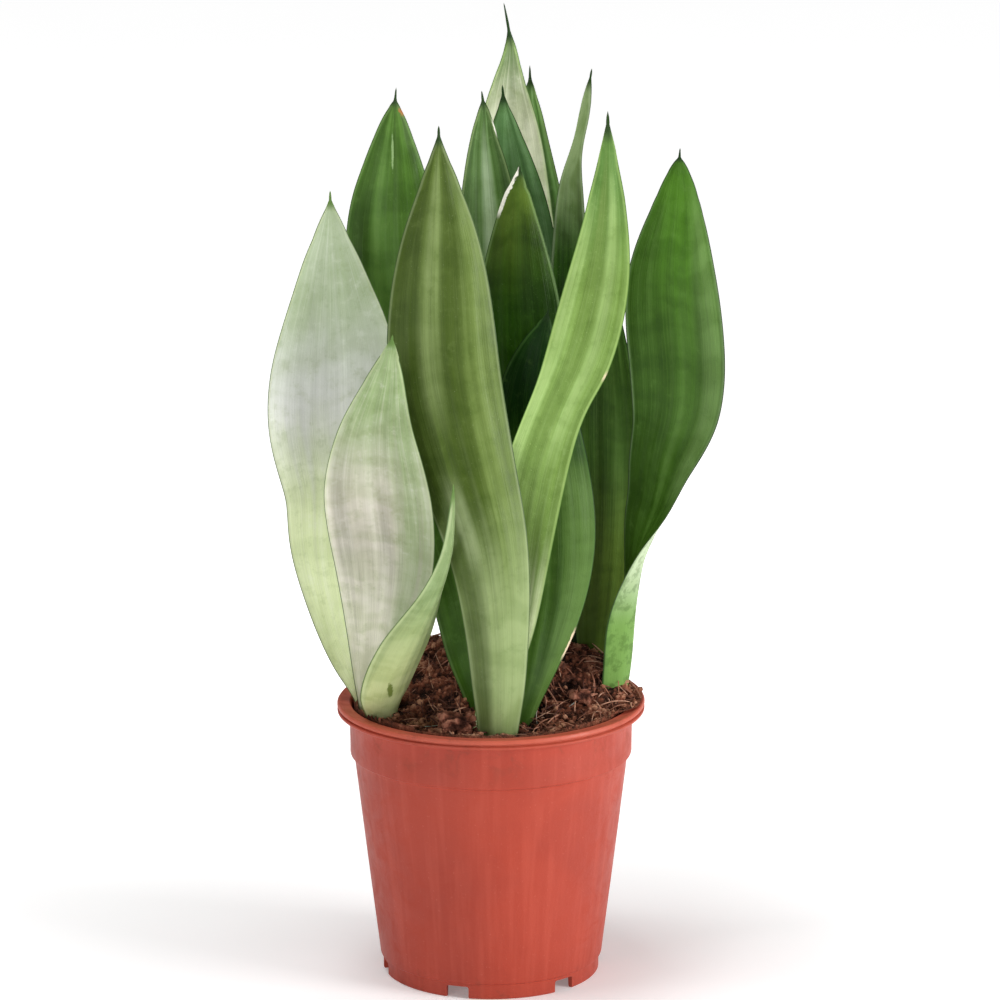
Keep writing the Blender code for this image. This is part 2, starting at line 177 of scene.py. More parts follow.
def move_points(obj, rows):
    obj.data.vertices.foreach_set("co", np.asarray(rows, float).ravel())
    obj.data.update()


def finish_piece(obj, name, slot, *stands_for):
    """Names a piece, lets it ride with the plant and hides the solids it stands for."""
    obj.name = name
    obj.data.name = name
    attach(obj, "root")
    if stands_for:
        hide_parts(*stands_for)
    obj.data.calc_loop_triangles()
    print(f"{name}: {len(obj.data.loop_triangles)} triangles")


# %% [markdown]
# ## Helpers for finishes
#
# A finish is a small tree of shader nodes. Colours are written as the eye reads them, from 0
# to 255, and turned into the light values that the shader wants.

# %% Helpers for shader nodes
def shade(r, g, b):
    """A colour from 0 to 255 for each part, as linear light."""
    out = []
    for c in (r, g, b):
        c = c / 255.0
        out.append(c / 12.92 if c <= 0.04045 else ((c + 0.055) / 1.055) ** 2.4)
    return (*out, 1.0)


class Finish:
    """A material and short ways to add nodes to it."""

    def __init__(self, name):
        self.material = bpy.data.materials.new(name)
        self.material.use_nodes = True
        self.tree = self.material.node_tree
        self.tree.nodes.clear()

    def put(self, kind, values=(), **settings):
        made = self.tree.nodes.new(kind)
        for key, value in settings.items():
            setattr(made, key, value)
        for key, value in dict(values).items():
            if isinstance(value, bpy.types.NodeSocket):
                self.tree.links.new(value, made.inputs[key])
            else:
                made.inputs[key].default_value = value
        return made

    def math(self, work, *values):
        return self.put("ShaderNodeMath", enumerate(values), operation=work).outputs[0]

    def mix(self, amount, first, second, how="MIX"):
        values = {0: amount, 6: first, 7: second}
        made = self.put("ShaderNodeMix", values, data_type="RGBA", blend_type=how)
        return made.outputs[2]

    def ease(self, value, low, high, at_low=0.0, at_high=1.0):
        """Goes smoothly from at_low to at_high while the value goes from low to high."""
        values = {0: value, 1: low, 2: high, 3: at_low, 4: at_high}
        return self.put("ShaderNodeMapRange", values, interpolation_type="SMOOTHSTEP").outputs[0]

    def grain(self, vector, scale, detail=2.0, rough=0.5, swirl=0.0):
        values = {"Vector": vector, "Scale": scale, "Detail": detail, "Roughness": rough,
                  "Distortion": swirl}
        return self.put("ShaderNodeTexNoise", values).outputs[0]

    def split(self, vector):
        return self.put("ShaderNodeSeparateXYZ", {0: vector}).outputs

    def join(self, x, y, z):
        return self.put("ShaderNodeCombineXYZ", {0: x, 1: y, 2: z}).outputs[0]

    def place(self):
        return self.put("ShaderNodeTexCoord").outputs["Object"]

    def reading(self, name, output="Fac"):
        """A value that the mesh carries at each of its points."""
        return self.put("ShaderNodeAttribute", attribute_name=name).outputs[output]

    def close(self, colour, rough, bump=None, depth=0.001, strength=0.5, **sockets):
        """The shader itself, with its colour, roughness and bump."""
        values = {"Base Color": colour, "Roughness": rough}
        values.update({key.replace("_", " "): value for key, value in sockets.items()})
        shader = self.put("ShaderNodeBsdfPrincipled", values)
        if bump is not None:
            raised = {"Height": bump, "Distance": depth, "Strength": strength}
            bumped = self.put("ShaderNodeBump", raised).outputs[0]
            self.tree.links.new(bumped, shader.inputs["Normal"])
        end = self.put("ShaderNodeOutputMaterial")
        self.tree.links.new(shader.outputs[0], end.inputs[0])
        return self.material


# %% [markdown]
# ## The floor
#
# Only a plain pale sheet. It is not part of the plant, so it is handed to the stage. The lamps
# don't reach its far parts, so these glow a little, as a lit studio sweep does.

# %% Lay the floor
def floor_finish():
    f = Finish("pale_floor")
    place = f.place()
    cloud = f.grain(place, 3.0, 3.0)
    colour = f.mix(cloud, shade(246, 246, 246), shade(250, 250, 250))
    far = f.put("ShaderNodeVectorMath", {0: place}, operation="LENGTH").outputs["Value"]
    glow = f.mix(f.ease(far, 0.06, 0.5, 0.25, 1.0), shade(0, 0, 0), shade(222, 222, 222))
    return f.close(colour, 0.9, Emission_Color=glow, Emission_Strength=1.0)


bpy.ops.object.select_all(action="DESELECT")
bpy.ops.mesh.primitive_plane_add(size=40.0, location=(0.0, 0.0, 0.0))
floor = bpy.context.object
floor.name = "studio_floor"
floor.data.materials.append(floor_finish())

# %% [markdown]
# ## The pot
#
# A nursery pot is moulded in one thin wall of soft plastic. Its shape is turned: a foot ring,
# a tapered wall, a step out to a straight collar, and a flat lip with a bead along its edge.
# So it is spun from one outline. The first point is pulled out step by step, as with a pen,
# and the line is spun once round. Then the notches in the foot and the drain holes are cut.

# %% Draw the outline and spin it
LIP_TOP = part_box("nursery_pot")[1].z
POT_STEPS = 192

# Radius and height in mm, from the middle of the underside, up the outside, and back inside
POT_OUTLINE = [
    (0, 5.4), (39, 5.4), (39.8, 5.1), (40.2, 0.5), (40.5, 0), (41.9, 0), (42.3, 0.5),
    (42.35, 5.2), (42.5, 6.0), (43.25, 6.5), (43.5, 7.2), (43.85, 10.2), (47.1, 36.2),
    (50.2, 61.5), (53.2, 86.4), (53.35, 87.6), (53.6, 88.1), (54.5, 88.5), (54.85, 88.8),
    (54.95, 89.4), (54.95, 92), (55.05, 98), (55.15, 103.6), (55.5, 104.9), (56.4, 105.5),
    (58.6, 105.7), (59.5, 105.85), (59.95, 106.3), (59.95, 106.9), (59.6, 107.3), (58.95, 107.5),
    (58.95, 107.8), (59.6, 108.0), (60, 108.5), (60, 109.2), (59.6, 109.8), (58.9, 110),
    (58.1, 109.75), (56.4, 109.7), (55.2, 109.7), (54.6, 109.1), (54.3, 107.6), (54.1, 104.8),
    (53.8, 91),
    (53.1, 88.8), (52.2, 86.8), (49, 61), (45.9, 35.6), (42.8, 10.2), (42.2, 8.4), (40.4, 6.8),
    (0, 6.8)]


def start_point(x, z):
    """One vertex, left from a small plane whose corners are merged."""
    bpy.ops.object.select_all(action="DESELECT")
    bpy.ops.mesh.primitive_plane_add(size=MM, location=(0.0, 0.0, 0.0))
    obj = bpy.context.object
    bpy.ops.object.mode_set(mode="EDIT")
    bpy.ops.mesh.merge(type="CENTER")
    bpy.ops.transform.translate(value=(x, 0.0, z))
    return obj


def draw_line(outline):
    """Pulls a vertex along an outline of radius and height."""
    before = outline[0]
    obj = start_point(before[0] * MM, before[1] * MM)
    for now in outline[1:]:
        step = ((now[0] - before[0]) * MM, 0.0, (now[1] - before[1]) * MM)
        bpy.ops.mesh.extrude_region_move(TRANSFORM_OT_translate={"value": step})
        before = now
    return obj


pot = draw_line(POT_OUTLINE)
bpy.ops.mesh.select_all(action="SELECT")
bpy.ops.mesh.spin(steps=POT_STEPS, angle=math.tau, center=(0, 0, 0), axis=(0, 0, 1))
bpy.ops.mesh.select_all(action="SELECT")
bpy.ops.mesh.remove_doubles(threshold=0.00001)
bpy.ops.mesh.normals_make_consistent(inside=False)
done()
print("pot spun:", len(pot.data.vertices), "points")

# %% [markdown]
# The foot ring is cut by six notches, so that water runs out from under the pot, and the floor
# has a ring of drain holes. A block and a rod are made once, copied round, joined, and taken
# away from the pot in one cut.

# %% Cut the notches and the drain holes
NOTCHES = 6
FIRST_NOTCH = math.radians(-108)
NOTCH_WIDTH, NOTCH_HEIGHT, NOTCH_DEPTH = 9.0 * MM, 4.8 * MM, 9.0 * MM
DRAIN_RADIUS, DRAIN_CIRCLE = 4.0 * MM, 27.0 * MM


def turned_copy(obj, angle):
    """A copy with its own mesh, turned about the middle of the pot."""
    pick(obj)
    bpy.ops.object.duplicate()
    copy = bpy.context.object
    c, s = math.cos(angle), math.sin(angle)
    old = points(copy)
    new = np.column_stack([c * old[:, 0] - s * old[:, 1], s * old[:, 0] + c * old[:, 1], old[:, 2]])
    move_points(copy, new)
    return copy


def joined(objs):
    """All the objects as one."""
    pick(*objs)
    bpy.ops.object.join()
    return bpy.context.object


bpy.ops.object.select_all(action="DESELECT")
bpy.ops.mesh.primitive_cube_add(size=1.0, location=(41.2 * MM, 0.0, 0.0))
block = bpy.context.object
block.scale = (NOTCH_DEPTH, NOTCH_WIDTH, 2 * NOTCH_HEIGHT)
settle(block)
modify(block, "BEVEL", width=0.9 * MM, segments=4, limit_method="ANGLE")

bpy.ops.object.select_all(action="DESELECT")
bpy.ops.mesh.primitive_cylinder_add(vertices=32, radius=DRAIN_RADIUS, depth=6 * MM,
                                    location=(DRAIN_CIRCLE, 0.0, 6.0 * MM))
rod = bpy.context.object
settle(rod)

cutters = [turned_copy(block, FIRST_NOTCH + k * math.tau / NOTCHES) for k in range(NOTCHES)]
cutters += [turned_copy(rod, FIRST_NOTCH + k * math.tau / NOTCHES) for k in range(NOTCHES)]
cutter = joined(cutters)
for spare in (block, rod):
    bpy.data.objects.remove(spare, do_unlink=True)
modify(pot, "BOOLEAN", operation="DIFFERENCE", object=cutter, solver="EXACT")
bpy.data.objects.remove(cutter, do_unlink=True)
print("pot cut:", len(pot.data.polygons), "faces")

# %% [markdown]
# A pot this thin is never quite round. Its lip sags a little where it was gripped, and the
# walls follow. The points are moved by a slow wave that grows from nothing at the foot.

# %% Let the lip sag a little
def warp_pot(rows):
    """Moves the upper pot by a slow wave: the lip dips at the front left."""
    x, y, z = rows.T
    turn = np.arctan2(y, x)
    grow = np.clip((z - 0.02) / (LIP_TOP - 0.02), 0.0, 1.0) ** 2
    dip = 0.75 * MM * np.cos(turn + math.radians(125)) + 0.2 * MM * np.cos(2 * turn + 0.6)
    swell = 1.0 - 0.004 * grow * (1 + np.cos(2 * turn + 1.2)) / 2
    return np.column_stack([x * swell, y * swell, z - grow * (dip + 0.7 * MM)])


move_points(pot, warp_pot(points(pot)))
pick(pot)
bpy.ops.object.shade_smooth_by_angle(angle=math.radians(35))

# %% [markdown]
# The plastic is dyed all through, matt, and a little chalky. It has faint upright flow marks
# from the mould, soft clouds in the colour, a fine grain, and dust and soil rubbed in under the
# lip and near the foot. These are mixed from noise on the pot's own coordinates. The flow
# marks use the angle round the pot, so they run up the wall. The outer face of the lip is
# painted lighter by height: a painted highlight along the lip.

# %% Mix the plastic
def pot_finish():
    f = Finish("terracotta_plastic")
    place = f.place()
    x, y, z = f.split(place)
    turn = f.math("ARCTAN2", y, x)
    around = f.math("MULTIPLY", turn, 0.055)
    cloud = f.grain(place, 26.0, 4.0, 0.55, 0.4)
    flow = f.join(f.math("MULTIPLY", around, 9.0), f.math("MULTIPLY", z, 0.7), 0.4)
    flow = f.grain(flow, 34.0, 3.0)
    dust = f.grain(place, 95.0, 6.0, 0.72, 0.8)
    speck = f.grain(place, 900.0, 2.0, 0.6)
    scuff = f.join(f.math("MULTIPLY", around, 1.6), f.math("MULTIPLY", z, 9.0), 3.0)
    scuff = f.grain(scuff, 60.0, 5.0, 0.65, 1.2)
    colour = f.mix(f.ease(cloud, 0.3, 0.7), shade(156, 54, 36), shade(166, 59, 39))
    colour = f.mix(f.ease(flow, 0.42, 0.72, 0.0, 0.16), colour, shade(200, 92, 72))
    colour = f.mix(f.ease(speck, 0.64, 0.76, 0.0, 0.2), colour, shade(204, 112, 92))
    colour = f.mix(f.ease(scuff, 0.68, 0.8, 0.0, 0.25), colour, shade(206, 120, 100))
    # Above a height the lip is mixed towards a lighter shade: a painted highlight along the lip.
    colour = f.mix(f.ease(z, 0.1045, 0.1075, 0.0, 0.35), colour, shade(206, 112, 88))
    near_lip = f.ease(z, 0.082, 0.105)
    near_foot = f.ease(z, 0.016, 0.002)
    where = f.math("MAXIMUM", near_lip, near_foot)
    dirt = f.math("MULTIPLY", f.ease(dust, 0.52, 0.7), f.math("MULTIPLY", where, 0.45))
    colour = f.mix(dirt, colour, shade(112, 58, 44))
    bump = f.math("ADD", f.math("MULTIPLY", speck, 0.5), f.math("MULTIPLY", scuff, 0.35))
    bump = f.math("ADD", bump, f.math("MULTIPLY", cloud, 1.5))
    rough = f.ease(dust, 0.35, 0.7, 0.44, 0.62)
    return f.close(colour, rough, bump, depth=0.0004, strength=0.3, Specular_IOR_Level=0.32)


pot.data.materials.append(pot_finish())
finish_piece(pot, "terracotta_pot", "terracotta_plastic", "nursery_pot")

# %% [markdown]
# ## The soil
#
# The soil lies low along the front of the lip, rises into a mound behind the leaves, and is
# heaped over the lip on the right, where some of it was spilled. A square sheet is rounded into
# a disc, which keeps its squares even, and every point is raised to the level of the mound.
# The rim of the sheet is then pulled down along the pot's wall and closed under the roots.

# %% Say how high the soil lies
SOIL_REACH = 53.4 * MM
SOIL_EDGE = LIP_TOP - 3.4 * MM
HEAP_AT, HEAP_SPREAD, HEAP_RISE = (50 * MM, 0.0), 15 * MM, 7 * MM
MOUND_RISE = 24 * MM


def eased(v):
    """0 to 1, slow at both ends."""
    v = np.clip(v, 0.0, 1.0)
    return v * v * (3 - 2 * v)


def soil_level(x, y):
    """Height of the soil: low along the front, mounded at the back, heaped at the right."""
    edge = np.clip(1 - (np.hypot(x, y) / (54 * MM)) ** 4, 0, None)
    mound = MOUND_RISE * eased((y + 30 * MM) / (46 * MM)) * edge
    off = np.hypot(x - HEAP_AT[0], y - HEAP_AT[1]) / HEAP_SPREAD
    return SOIL_EDGE + mound + HEAP_RISE * np.exp(-off * off)


def spilled(x, y):
    """1 where the soil lies over the lip, 0 elsewhere."""
    off = np.abs(np.degrees(np.arctan2(y, x)) + 4)
    return 1 - eased((off - 12) / 16)


# %% Round the sheet and raise it
SOIL_CELLS = 216

bpy.ops.object.select_all(action="DESELECT")
bpy.ops.mesh.primitive_grid_add(x_subdivisions=SOIL_CELLS, y_subdivisions=SOIL_CELLS, size=2.0)
soil = bpy.context.object
flat = points(soil)
u, v = flat[:, 0], flat[:, 1]
disc_x, disc_y = u * np.sqrt(1 - v * v / 2), v * np.sqrt(1 - u * u / 2)
reach = SOIL_REACH + 5.4 * MM * spilled(disc_x, disc_y)
soil_x, soil_y = disc_x * reach, disc_y * reach
out = np.hypot(soil_x, soil_y)
level = soil_level(soil_x, soil_y)
over_lip = eased((out - 52.6 * MM) / (1.6 * MM))
outer_slope = 2.0 * MM * eased((out - 56 * MM) / (4 * MM))
level = np.maximum(level, over_lip * (LIP_TOP + 0.9 * MM - outer_slope))
move_points(soil, np.column_stack([soil_x, soil_y, level]))

on_rim = np.isclose(np.maximum(np.abs(u), np.abs(v)), 1.0)
top = soil.vertex_groups.new(name="crumbly")
for i, near in enumerate(np.maximum(np.abs(u), np.abs(v))):
    top.add([i], float(np.clip((1.0 - near) / 0.03, 0.25, 1.0)), "REPLACE")
print("soil sheet:", len(flat), "points, rim of", int(on_rim.sum()))

# %% [markdown]
# Fresh potting soil is all lumps. Three Displace modifiers push the sheet up and down: soft
# clods, then crumbs, then grain. A cell pattern gives the crumbs their round tops with narrow
# gaps between them.

# %% Crumble the surface
def lumpy(name, kind, size, **settings):
    """A noise texture for the Displace modifier."""
    texture = bpy.data.textures.new(name, kind)
    texture.noise_scale = size
    for key, value in settings.items():
        setattr(texture, key, value)
    return texture


CRUMBS = [
    (lumpy("clods", "CLOUDS", 6.5 * MM, noise_depth=1), 4.4 * MM, 0.5),
    (lumpy("crumbs", "VORONOI", 1.9 * MM, distance_metric="DISTANCE"), -2.3 * MM, 0.45),
    (lumpy("small_crumbs", "VORONOI", 1.05 * MM, distance_metric="DISTANCE"), -1.3 * MM, 0.45),
    (lumpy("grain", "CLOUDS", 0.8 * MM, noise_depth=2), 1.1 * MM, 0.5),
]
for texture, lift, middle in CRUMBS:
    modify(soil, "DISPLACE", texture=texture, strength=lift, mid_level=middle,
           texture_coords="LOCAL", vertex_group="crumbly")

# The height of each point above the smooth level is kept as its tone. The finish turns it into
# painted shade in the gaps and a painted highlight on the tops.
rows = points(soil)
raised = (rows[:, 2] - level) / (3.0 * MM) + 0.5
soil.data.attributes.new("tone", "FLOAT", "POINT").data.foreach_set("value", np.clip(raised, 0, 1))
lip_clear = np.hypot(rows[:, 0], rows[:, 1]) > 53.2 * MM
rows[lip_clear, 2] = np.maximum(rows[lip_clear, 2], LIP_TOP + 0.15 * MM)
inside = ~lip_clear | (spilled(rows[:, 0], rows[:, 1]) < 0.02)
far = np.hypot(rows[:, 0], rows[:, 1])
pull = np.where(inside, np.minimum(1.0, SOIL_REACH / np.maximum(far, 1e-6)), 1.0)
rows[:, :2] *= pull[:, None]
below_lip = np.minimum(rows[inside, 2], LIP_TOP - 1.0 * MM)
rows[inside, 2] = np.where(on_rim[inside], below_lip, rows[inside, 2])
move_points(soil, rows)

# %% Pull the rim down the wall and close the bottom
# Radius and height in mm of the steps down: first under the spilled edge, then down the wall
STEPS_DOWN = [(None, 110.1), (53.3, 109.4), (53.2, 100.0), (51.6, 86.4), (42.4, 10.8), (39.6, 7.2)]


def pull_down():
    """Extrudes the open rim down the inside of the pot, one ring at a time, and fills it."""
    edit(soil)
    for i in np.flatnonzero(on_rim):
        soil.data.vertices[i].select = True
    for radius, height in STEPS_DOWN:
        bpy.ops.object.mode_set(mode="EDIT")
        bpy.ops.mesh.extrude_region_move(TRANSFORM_OT_translate={"value": (0, 0, -MM)})
        done()
        rows = points(soil)
        sel = np.array([w.select for w in soil.data.vertices])
        ring = rows[sel]
        far = np.hypot(ring[:, 0], ring[:, 1])
        if radius is None:
            ring[:, 2] = np.where(far > 53.9 * MM, LIP_TOP + 0.1 * MM, ring[:, 2])
        else:
            near = radius * MM * np.ones(len(ring))
            ring[:, :2] *= (near / far)[:, None]
            ring[:, 2] = np.minimum(ring[:, 2] - 0.05 * MM, height * MM)
        rows[sel] = ring
        move_points(soil, rows)
    bpy.ops.object.mode_set(mode="EDIT")
    bpy.ops.mesh.edge_face_add()
    bpy.ops.mesh.select_all(action="SELECT")
    bpy.ops.mesh.normals_make_consistent(inside=False)
    done()


pull_down()
pick(soil)
bpy.ops.object.shade_smooth()

# %% [markdown]
# Coir and peat are dark red-brown and paler where dry. The finish mixes these shades from coarse
# and fine noise and from the tone of each point. On the mound the tone follows height, so the gaps
# are painted almost black, a painted shade, and the tops paler, partly dryness and partly a
# painted highlight. The same noise roughens the surface.

# %% Mix the soil
def soil_finish(name, dark, mid, light, dry=0.4):
    """Painted shade in the gaps, paler tops (partly dry, partly painted highlight): follows each
    point's tone.
    """
    f = Finish(name)
    place = f.place()
    clod = f.grain(place, 160.0, 4.0, 0.6, 0.3)
    crumb = f.grain(place, 620.0, 5.0, 0.7, 0.5)
    grit = f.grain(place, 2300.0, 3.0, 0.65)
    tone = f.math("MULTIPLY_ADD", f.math("SUBTRACT", crumb, 0.5), 0.9, f.reading("tone"))
    # Where the tone follows height, low points get painted shade and high points a painted
    # highlight. Loose crumbs carry a random tone.
    colour = f.mix(f.ease(tone, 0.2, 0.7), dark, mid)
    colour = f.mix(f.ease(clod, 0.35, 0.7, 0.0, 0.25), colour, mid)
    colour = f.mix(f.ease(tone, 0.55, 1.0, 0.0, 0.75), colour, light)
    colour = f.mix(f.ease(grit, 0.56, 0.74, 0.0, dry), colour, light)
    bump = f.math("ADD", f.math("MULTIPLY", crumb, 1.2), f.math("MULTIPLY", grit, 0.5))
    rough = f.ease(grit, 0.3, 0.7, 0.82, 0.98)
    return f.close(colour, rough, bump, depth=0.0012, strength=1.0, Specular_IOR_Level=0.25)


peat = soil_finish("peat", shade(32, 14, 8), shade(146, 84, 60), shade(228, 170, 136))
soil.data.materials.append(peat)
finish_piece(soil, "peat_mound", "peat", "potting_soil")

# %% [markdown]
# ## Loose crumbs and fibres
#
# What makes soil look like soil is what lies loose on it: crumbs of every size, and hundreds
# of short coir fibres, bent, crossing, some of them pale. One crumb and one strand are
# modelled. Each copy gets its own mesh, size, turn and shade, and all are joined at the end.
# A crumb has only twenty faces and a strand a few dozen, because there are so many.

# %% Make the loose crumbs
CRUMB_COUNT = 1600
FIBRE_COUNT = 800
chance = random.Random(11)


def resting_height(x, y):
    """Where a thing dropped straight down on the soil comes to lie."""
    hit, spot, normal, _ = soil.ray_cast(Vector((x, y, 0.3)), Vector((0, 0, -1)))
    return (spot.z, normal) if hit else (None, None)


def anywhere_on_soil(margin=0.5 * MM):
    """A point on the soil, also on the part that was spilled over the lip."""
    while True:
        x, y = chance.uniform(-0.06, 0.06), chance.uniform(-0.06, 0.06)
        reach = SOIL_REACH - margin + 5.0 * MM * float(spilled(x, y))
        if math.hypot(x, y) < reach:
            return x, y


def loose_copy(model, rows, tone):
    """A copy of a small model with its own mesh, its own points and its own shade."""
    copy = model.copy()
    copy.data = model.data.copy()
    bpy.context.scene.collection.objects.link(copy)
    move_points(copy, rows)
    attribute = copy.data.attributes.new("tone", "FLOAT", "POINT")
    attribute.data.foreach_set("value", [tone] * len(copy.data.vertices))
    return copy


def turned_rows(rows, heading, tilt):
    """Points turned by a heading about Z after a tilt about X."""
    c, s = math.cos(tilt), math.sin(tilt)
    y, z = c * rows[:, 1] - s * rows[:, 2], s * rows[:, 1] + c * rows[:, 2]
    c, s = math.cos(heading), math.sin(heading)
    return np.column_stack([c * rows[:, 0] - s * y, s * rows[:, 0] + c * y, z])


bpy.ops.object.select_all(action="DESELECT")
bpy.ops.mesh.primitive_ico_sphere_add(subdivisions=1, radius=1.0)
crumb = bpy.context.object
lump = points(crumb)
crumbs = []
for k in range(CRUMB_COUNT):
    x, y = anywhere_on_soil()
    z, _ = resting_height(x, y)
    if z is None:
        continue
    size = (0.35 + 1.2 * chance.random() ** 3) * MM
    squash = np.array([1.0, chance.uniform(0.6, 1.0), chance.uniform(0.45, 0.9)])
    knocked = lump * squash * np.array([[chance.uniform(0.75, 1.2)] for _ in lump])
    rows = turned_rows(knocked * size, chance.uniform(0, math.tau), chance.uniform(-0.8, 0.8))
    tone = 0.25 + 0.7 * chance.random() ** 1.5
    crumbs.append(loose_copy(crumb, rows + (x, y, z + 0.35 * size), tone))
bpy.data.objects.remove(crumb, do_unlink=True)
loose_crumbs = joined(crumbs)
loose_crumbs.data.materials.append(peat)
finish_piece(loose_crumbs, "loose_crumbs", "peat")

# %% Make the coir fibres
STRAND_STEPS = 7


def strand_model():
    """A thin rod of five sides along X, one unit long, cut into short lengths."""
    bpy.ops.object.select_all(action="DESELECT")
    bpy.ops.mesh.primitive_cylinder_add(vertices=5, radius=1.0, depth=1.0,
                                        end_fill_type="TRIFAN", rotation=(0, math.pi / 2, 0))
    rod = bpy.context.object
    settle(rod)
    for k in range(1, STRAND_STEPS):
        edit(rod)
        bpy.ops.object.mode_set(mode="EDIT")
        bpy.ops.mesh.select_all(action="SELECT")
        bpy.ops.mesh.bisect(plane_co=(k / STRAND_STEPS - 0.5, 0, 0), plane_no=(1, 0, 0))
        done()
    return rod


def strand_path(length, curl):
    """A slightly bent line that lies across the crumbs, from the first to the last."""
    x, y = anywhere_on_soil(2 * MM)
    heading = chance.uniform(0, math.tau)
    bend = chance.uniform(-curl, curl)
    arch = chance.uniform(0.0, 0.12) * length
    lift = chance.uniform(0.0, 0.35) ** 2 * length
    line = []
    for k in range(STRAND_STEPS + 1):
        z, _ = resting_height(x, y)
        if z is None:
            return None
        line.append(Vector((x, y, z)))
        heading += bend / STRAND_STEPS + chance.uniform(-0.09, 0.09)
        x += math.cos(heading) * length / STRAND_STEPS
        y += math.sin(heading) * length / STRAND_STEPS
    first, last = line[0].z, line[-1].z
    bridge = [first + (last - first) * k / STRAND_STEPS for k in range(STRAND_STEPS + 1)]
    clear = max(0.6 * (spot.z - z) for spot, z in zip(line, bridge))
    for k, spot in enumerate(line):
        along = k / STRAND_STEPS
        spot.z = bridge[k] + max(clear, 0.0) + arch * math.sin(math.pi * along) + lift * along
    return line


def follow(rows, line, thick):
    """Bends a straight rod along a line and tapers its ends."""
    bent = np.empty_like(rows)
    for i, (along, side, up) in enumerate(rows):
        pos = min(max((along + 0.5) * STRAND_STEPS, 0.0), STRAND_STEPS)
        k = min(int(pos), STRAND_STEPS - 1)
        here = line[k].lerp(line[k + 1], pos - k)
        ahead = (line[k + 1] - line[k]).normalized()
        right = ahead.cross(Vector((0, 0, 1))).normalized()
        thin = thick * (1 - 0.65 * abs(2 * along) ** 3)
        bent[i] = here + right * side * thin + right.cross(ahead) * up * thin
    return bent


strand = strand_model()
straight = points(strand)
fibres = []
while len(fibres) < FIBRE_COUNT:
    long = (2.5 + 10 * chance.random() ** 2.0) * MM
    line = strand_path(long, 0.9)
    if line is None:
        continue
    thick = (0.12 + 0.24 * chance.random() ** 2.0) * MM
    tone = chance.random() ** 1.6
    fibres.append(loose_copy(strand, follow(straight, line, thick), tone))
bpy.data.objects.remove(strand, do_unlink=True)
coir = joined(fibres)
print("fibres:", FIBRE_COUNT)


# %% Mix the fibre finish
def fibre_finish():
    f = Finish("coir_fibre")
    place = f.place()
    streak = f.grain(place, 900.0, 3.0, 0.6)
    tone = f.reading("tone")
    colour = f.mix(f.ease(tone, 0.0, 0.55), shade(84, 42, 30), shade(188, 124, 96))
    colour = f.mix(f.ease(tone, 0.5, 0.95), colour, shade(214, 166, 138))
    colour = f.mix(f.ease(tone, 0.965, 0.975), colour, shade(196, 205, 196))
    colour = f.mix(f.ease(streak, 0.4, 0.7, 0.0, 0.4), colour, shade(70, 42, 30))
    return f.close(colour, f.ease(streak, 0.3, 0.7, 0.6, 0.85), streak, depth=0.0002, strength=0.5)


coir.data.materials.append(fibre_finish())
pick(coir)
bpy.ops.object.shade_smooth()
finish_piece(coir, "coir_fibres", "peat")

# %% [markdown]
# ## The bark chips
#
# Two bits of bark lie half sunk at the front and at the right. A block is bevelled, cut fine and
# pushed about by two noises, so that it breaks into ledges as bark does. Its tone follows that
# push: painted shade in the hollows and a painted highlight on the lumps.

# %% Break the bark
def bark_piece(name, node, seed):
    low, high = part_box(node)
    bpy.ops.object.select_all(action="DESELECT")
    bpy.ops.mesh.primitive_cube_add(size=1.0, location=(low + high) / 2)
    chip = bpy.context.object
    chip.scale = (high - low) * 0.8
    settle(chip)
    small = min(high - low)
    modify(chip, "BEVEL", width=0.3 * small, segments=3)
    modify(chip, "SUBSURF", subdivision_type="SIMPLE", levels=4, render_levels=4)
    shift = Vector((seed, 0.3, 0.7))
    rows, painted_relief_shade = [], []
    for w in chip.data.vertices:
        spot = w.co / (3.2 * MM) + shift
        ledge = noise.cell(w.co / (2.4 * MM) + shift) - 0.5
        rough = noise.fractal(w.co / (1.4 * MM), 0.8, 2.0, 3)
        push = small * (0.34 * noise.noise(spot) + 0.05 * ledge + 0.09 * rough)
        rows.append(w.co + w.normal * push)
        # The tone follows the push: painted shade in the hollows, painted highlight on the lumps.
        painted_relief_shade.append(0.5 + 3.0 * push / small)
    move_points(chip, rows)
    chip.data.attributes.new("tone", "FLOAT", "POINT").data.foreach_set("value", painted_relief_shade)
    chip.data.materials.append(bark)
    pick(chip)
    bpy.ops.object.shade_smooth_by_angle(angle=math.radians(50))
    finish_piece(chip, name, "bark", node)
    return chip


bark = soil_finish("bark", shade(60, 30, 21), shade(138, 82, 62), shade(190, 130, 106), dry=0.5)
bark_piece("bark_front", "bark_chip_front", 1.0)
bark_piece("bark_right", "bark_chip_right", 4.0)

# %% [markdown]
# ## The buried stems
#
# Under each group of leaves lies a thick creeping stem. Nothing of it shows above the soil, and
# its solid has the right shape, so it stays. It only gets a finish: pale, ringed, a bit dirty.

# %% Finish the rhizomes
def rhizome_finish():
    f = Finish("rhizome_skin")
    place = f.place()
    _, y, z = f.split(place)
    rings = f.grain(f.join(0.0, f.math("MULTIPLY", y, 9.0), f.math("MULTIPLY", z, 0.6)), 70.0, 3.0)
    dirt = f.grain(place, 240.0, 5.0, 0.65)
    colour = f.mix(f.ease(rings, 0.35, 0.65), shade(214, 150, 88), shade(232, 190, 136))
    colour = f.mix(f.ease(dirt, 0.5, 0.72, 0.0, 0.8), colour, shade(96, 60, 42))
    return f.close(colour, f.ease(dirt, 0.3, 0.7, 0.5, 0.8), rings, depth=0.0006, strength=0.6)


stem_skin = rhizome_finish()
for name in ("rhizome_left", "rhizome_front", "rhizome_right", "rhizome_back"):
    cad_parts[name].data.materials.clear()
    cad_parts[name].data.materials.append(stem_skin)

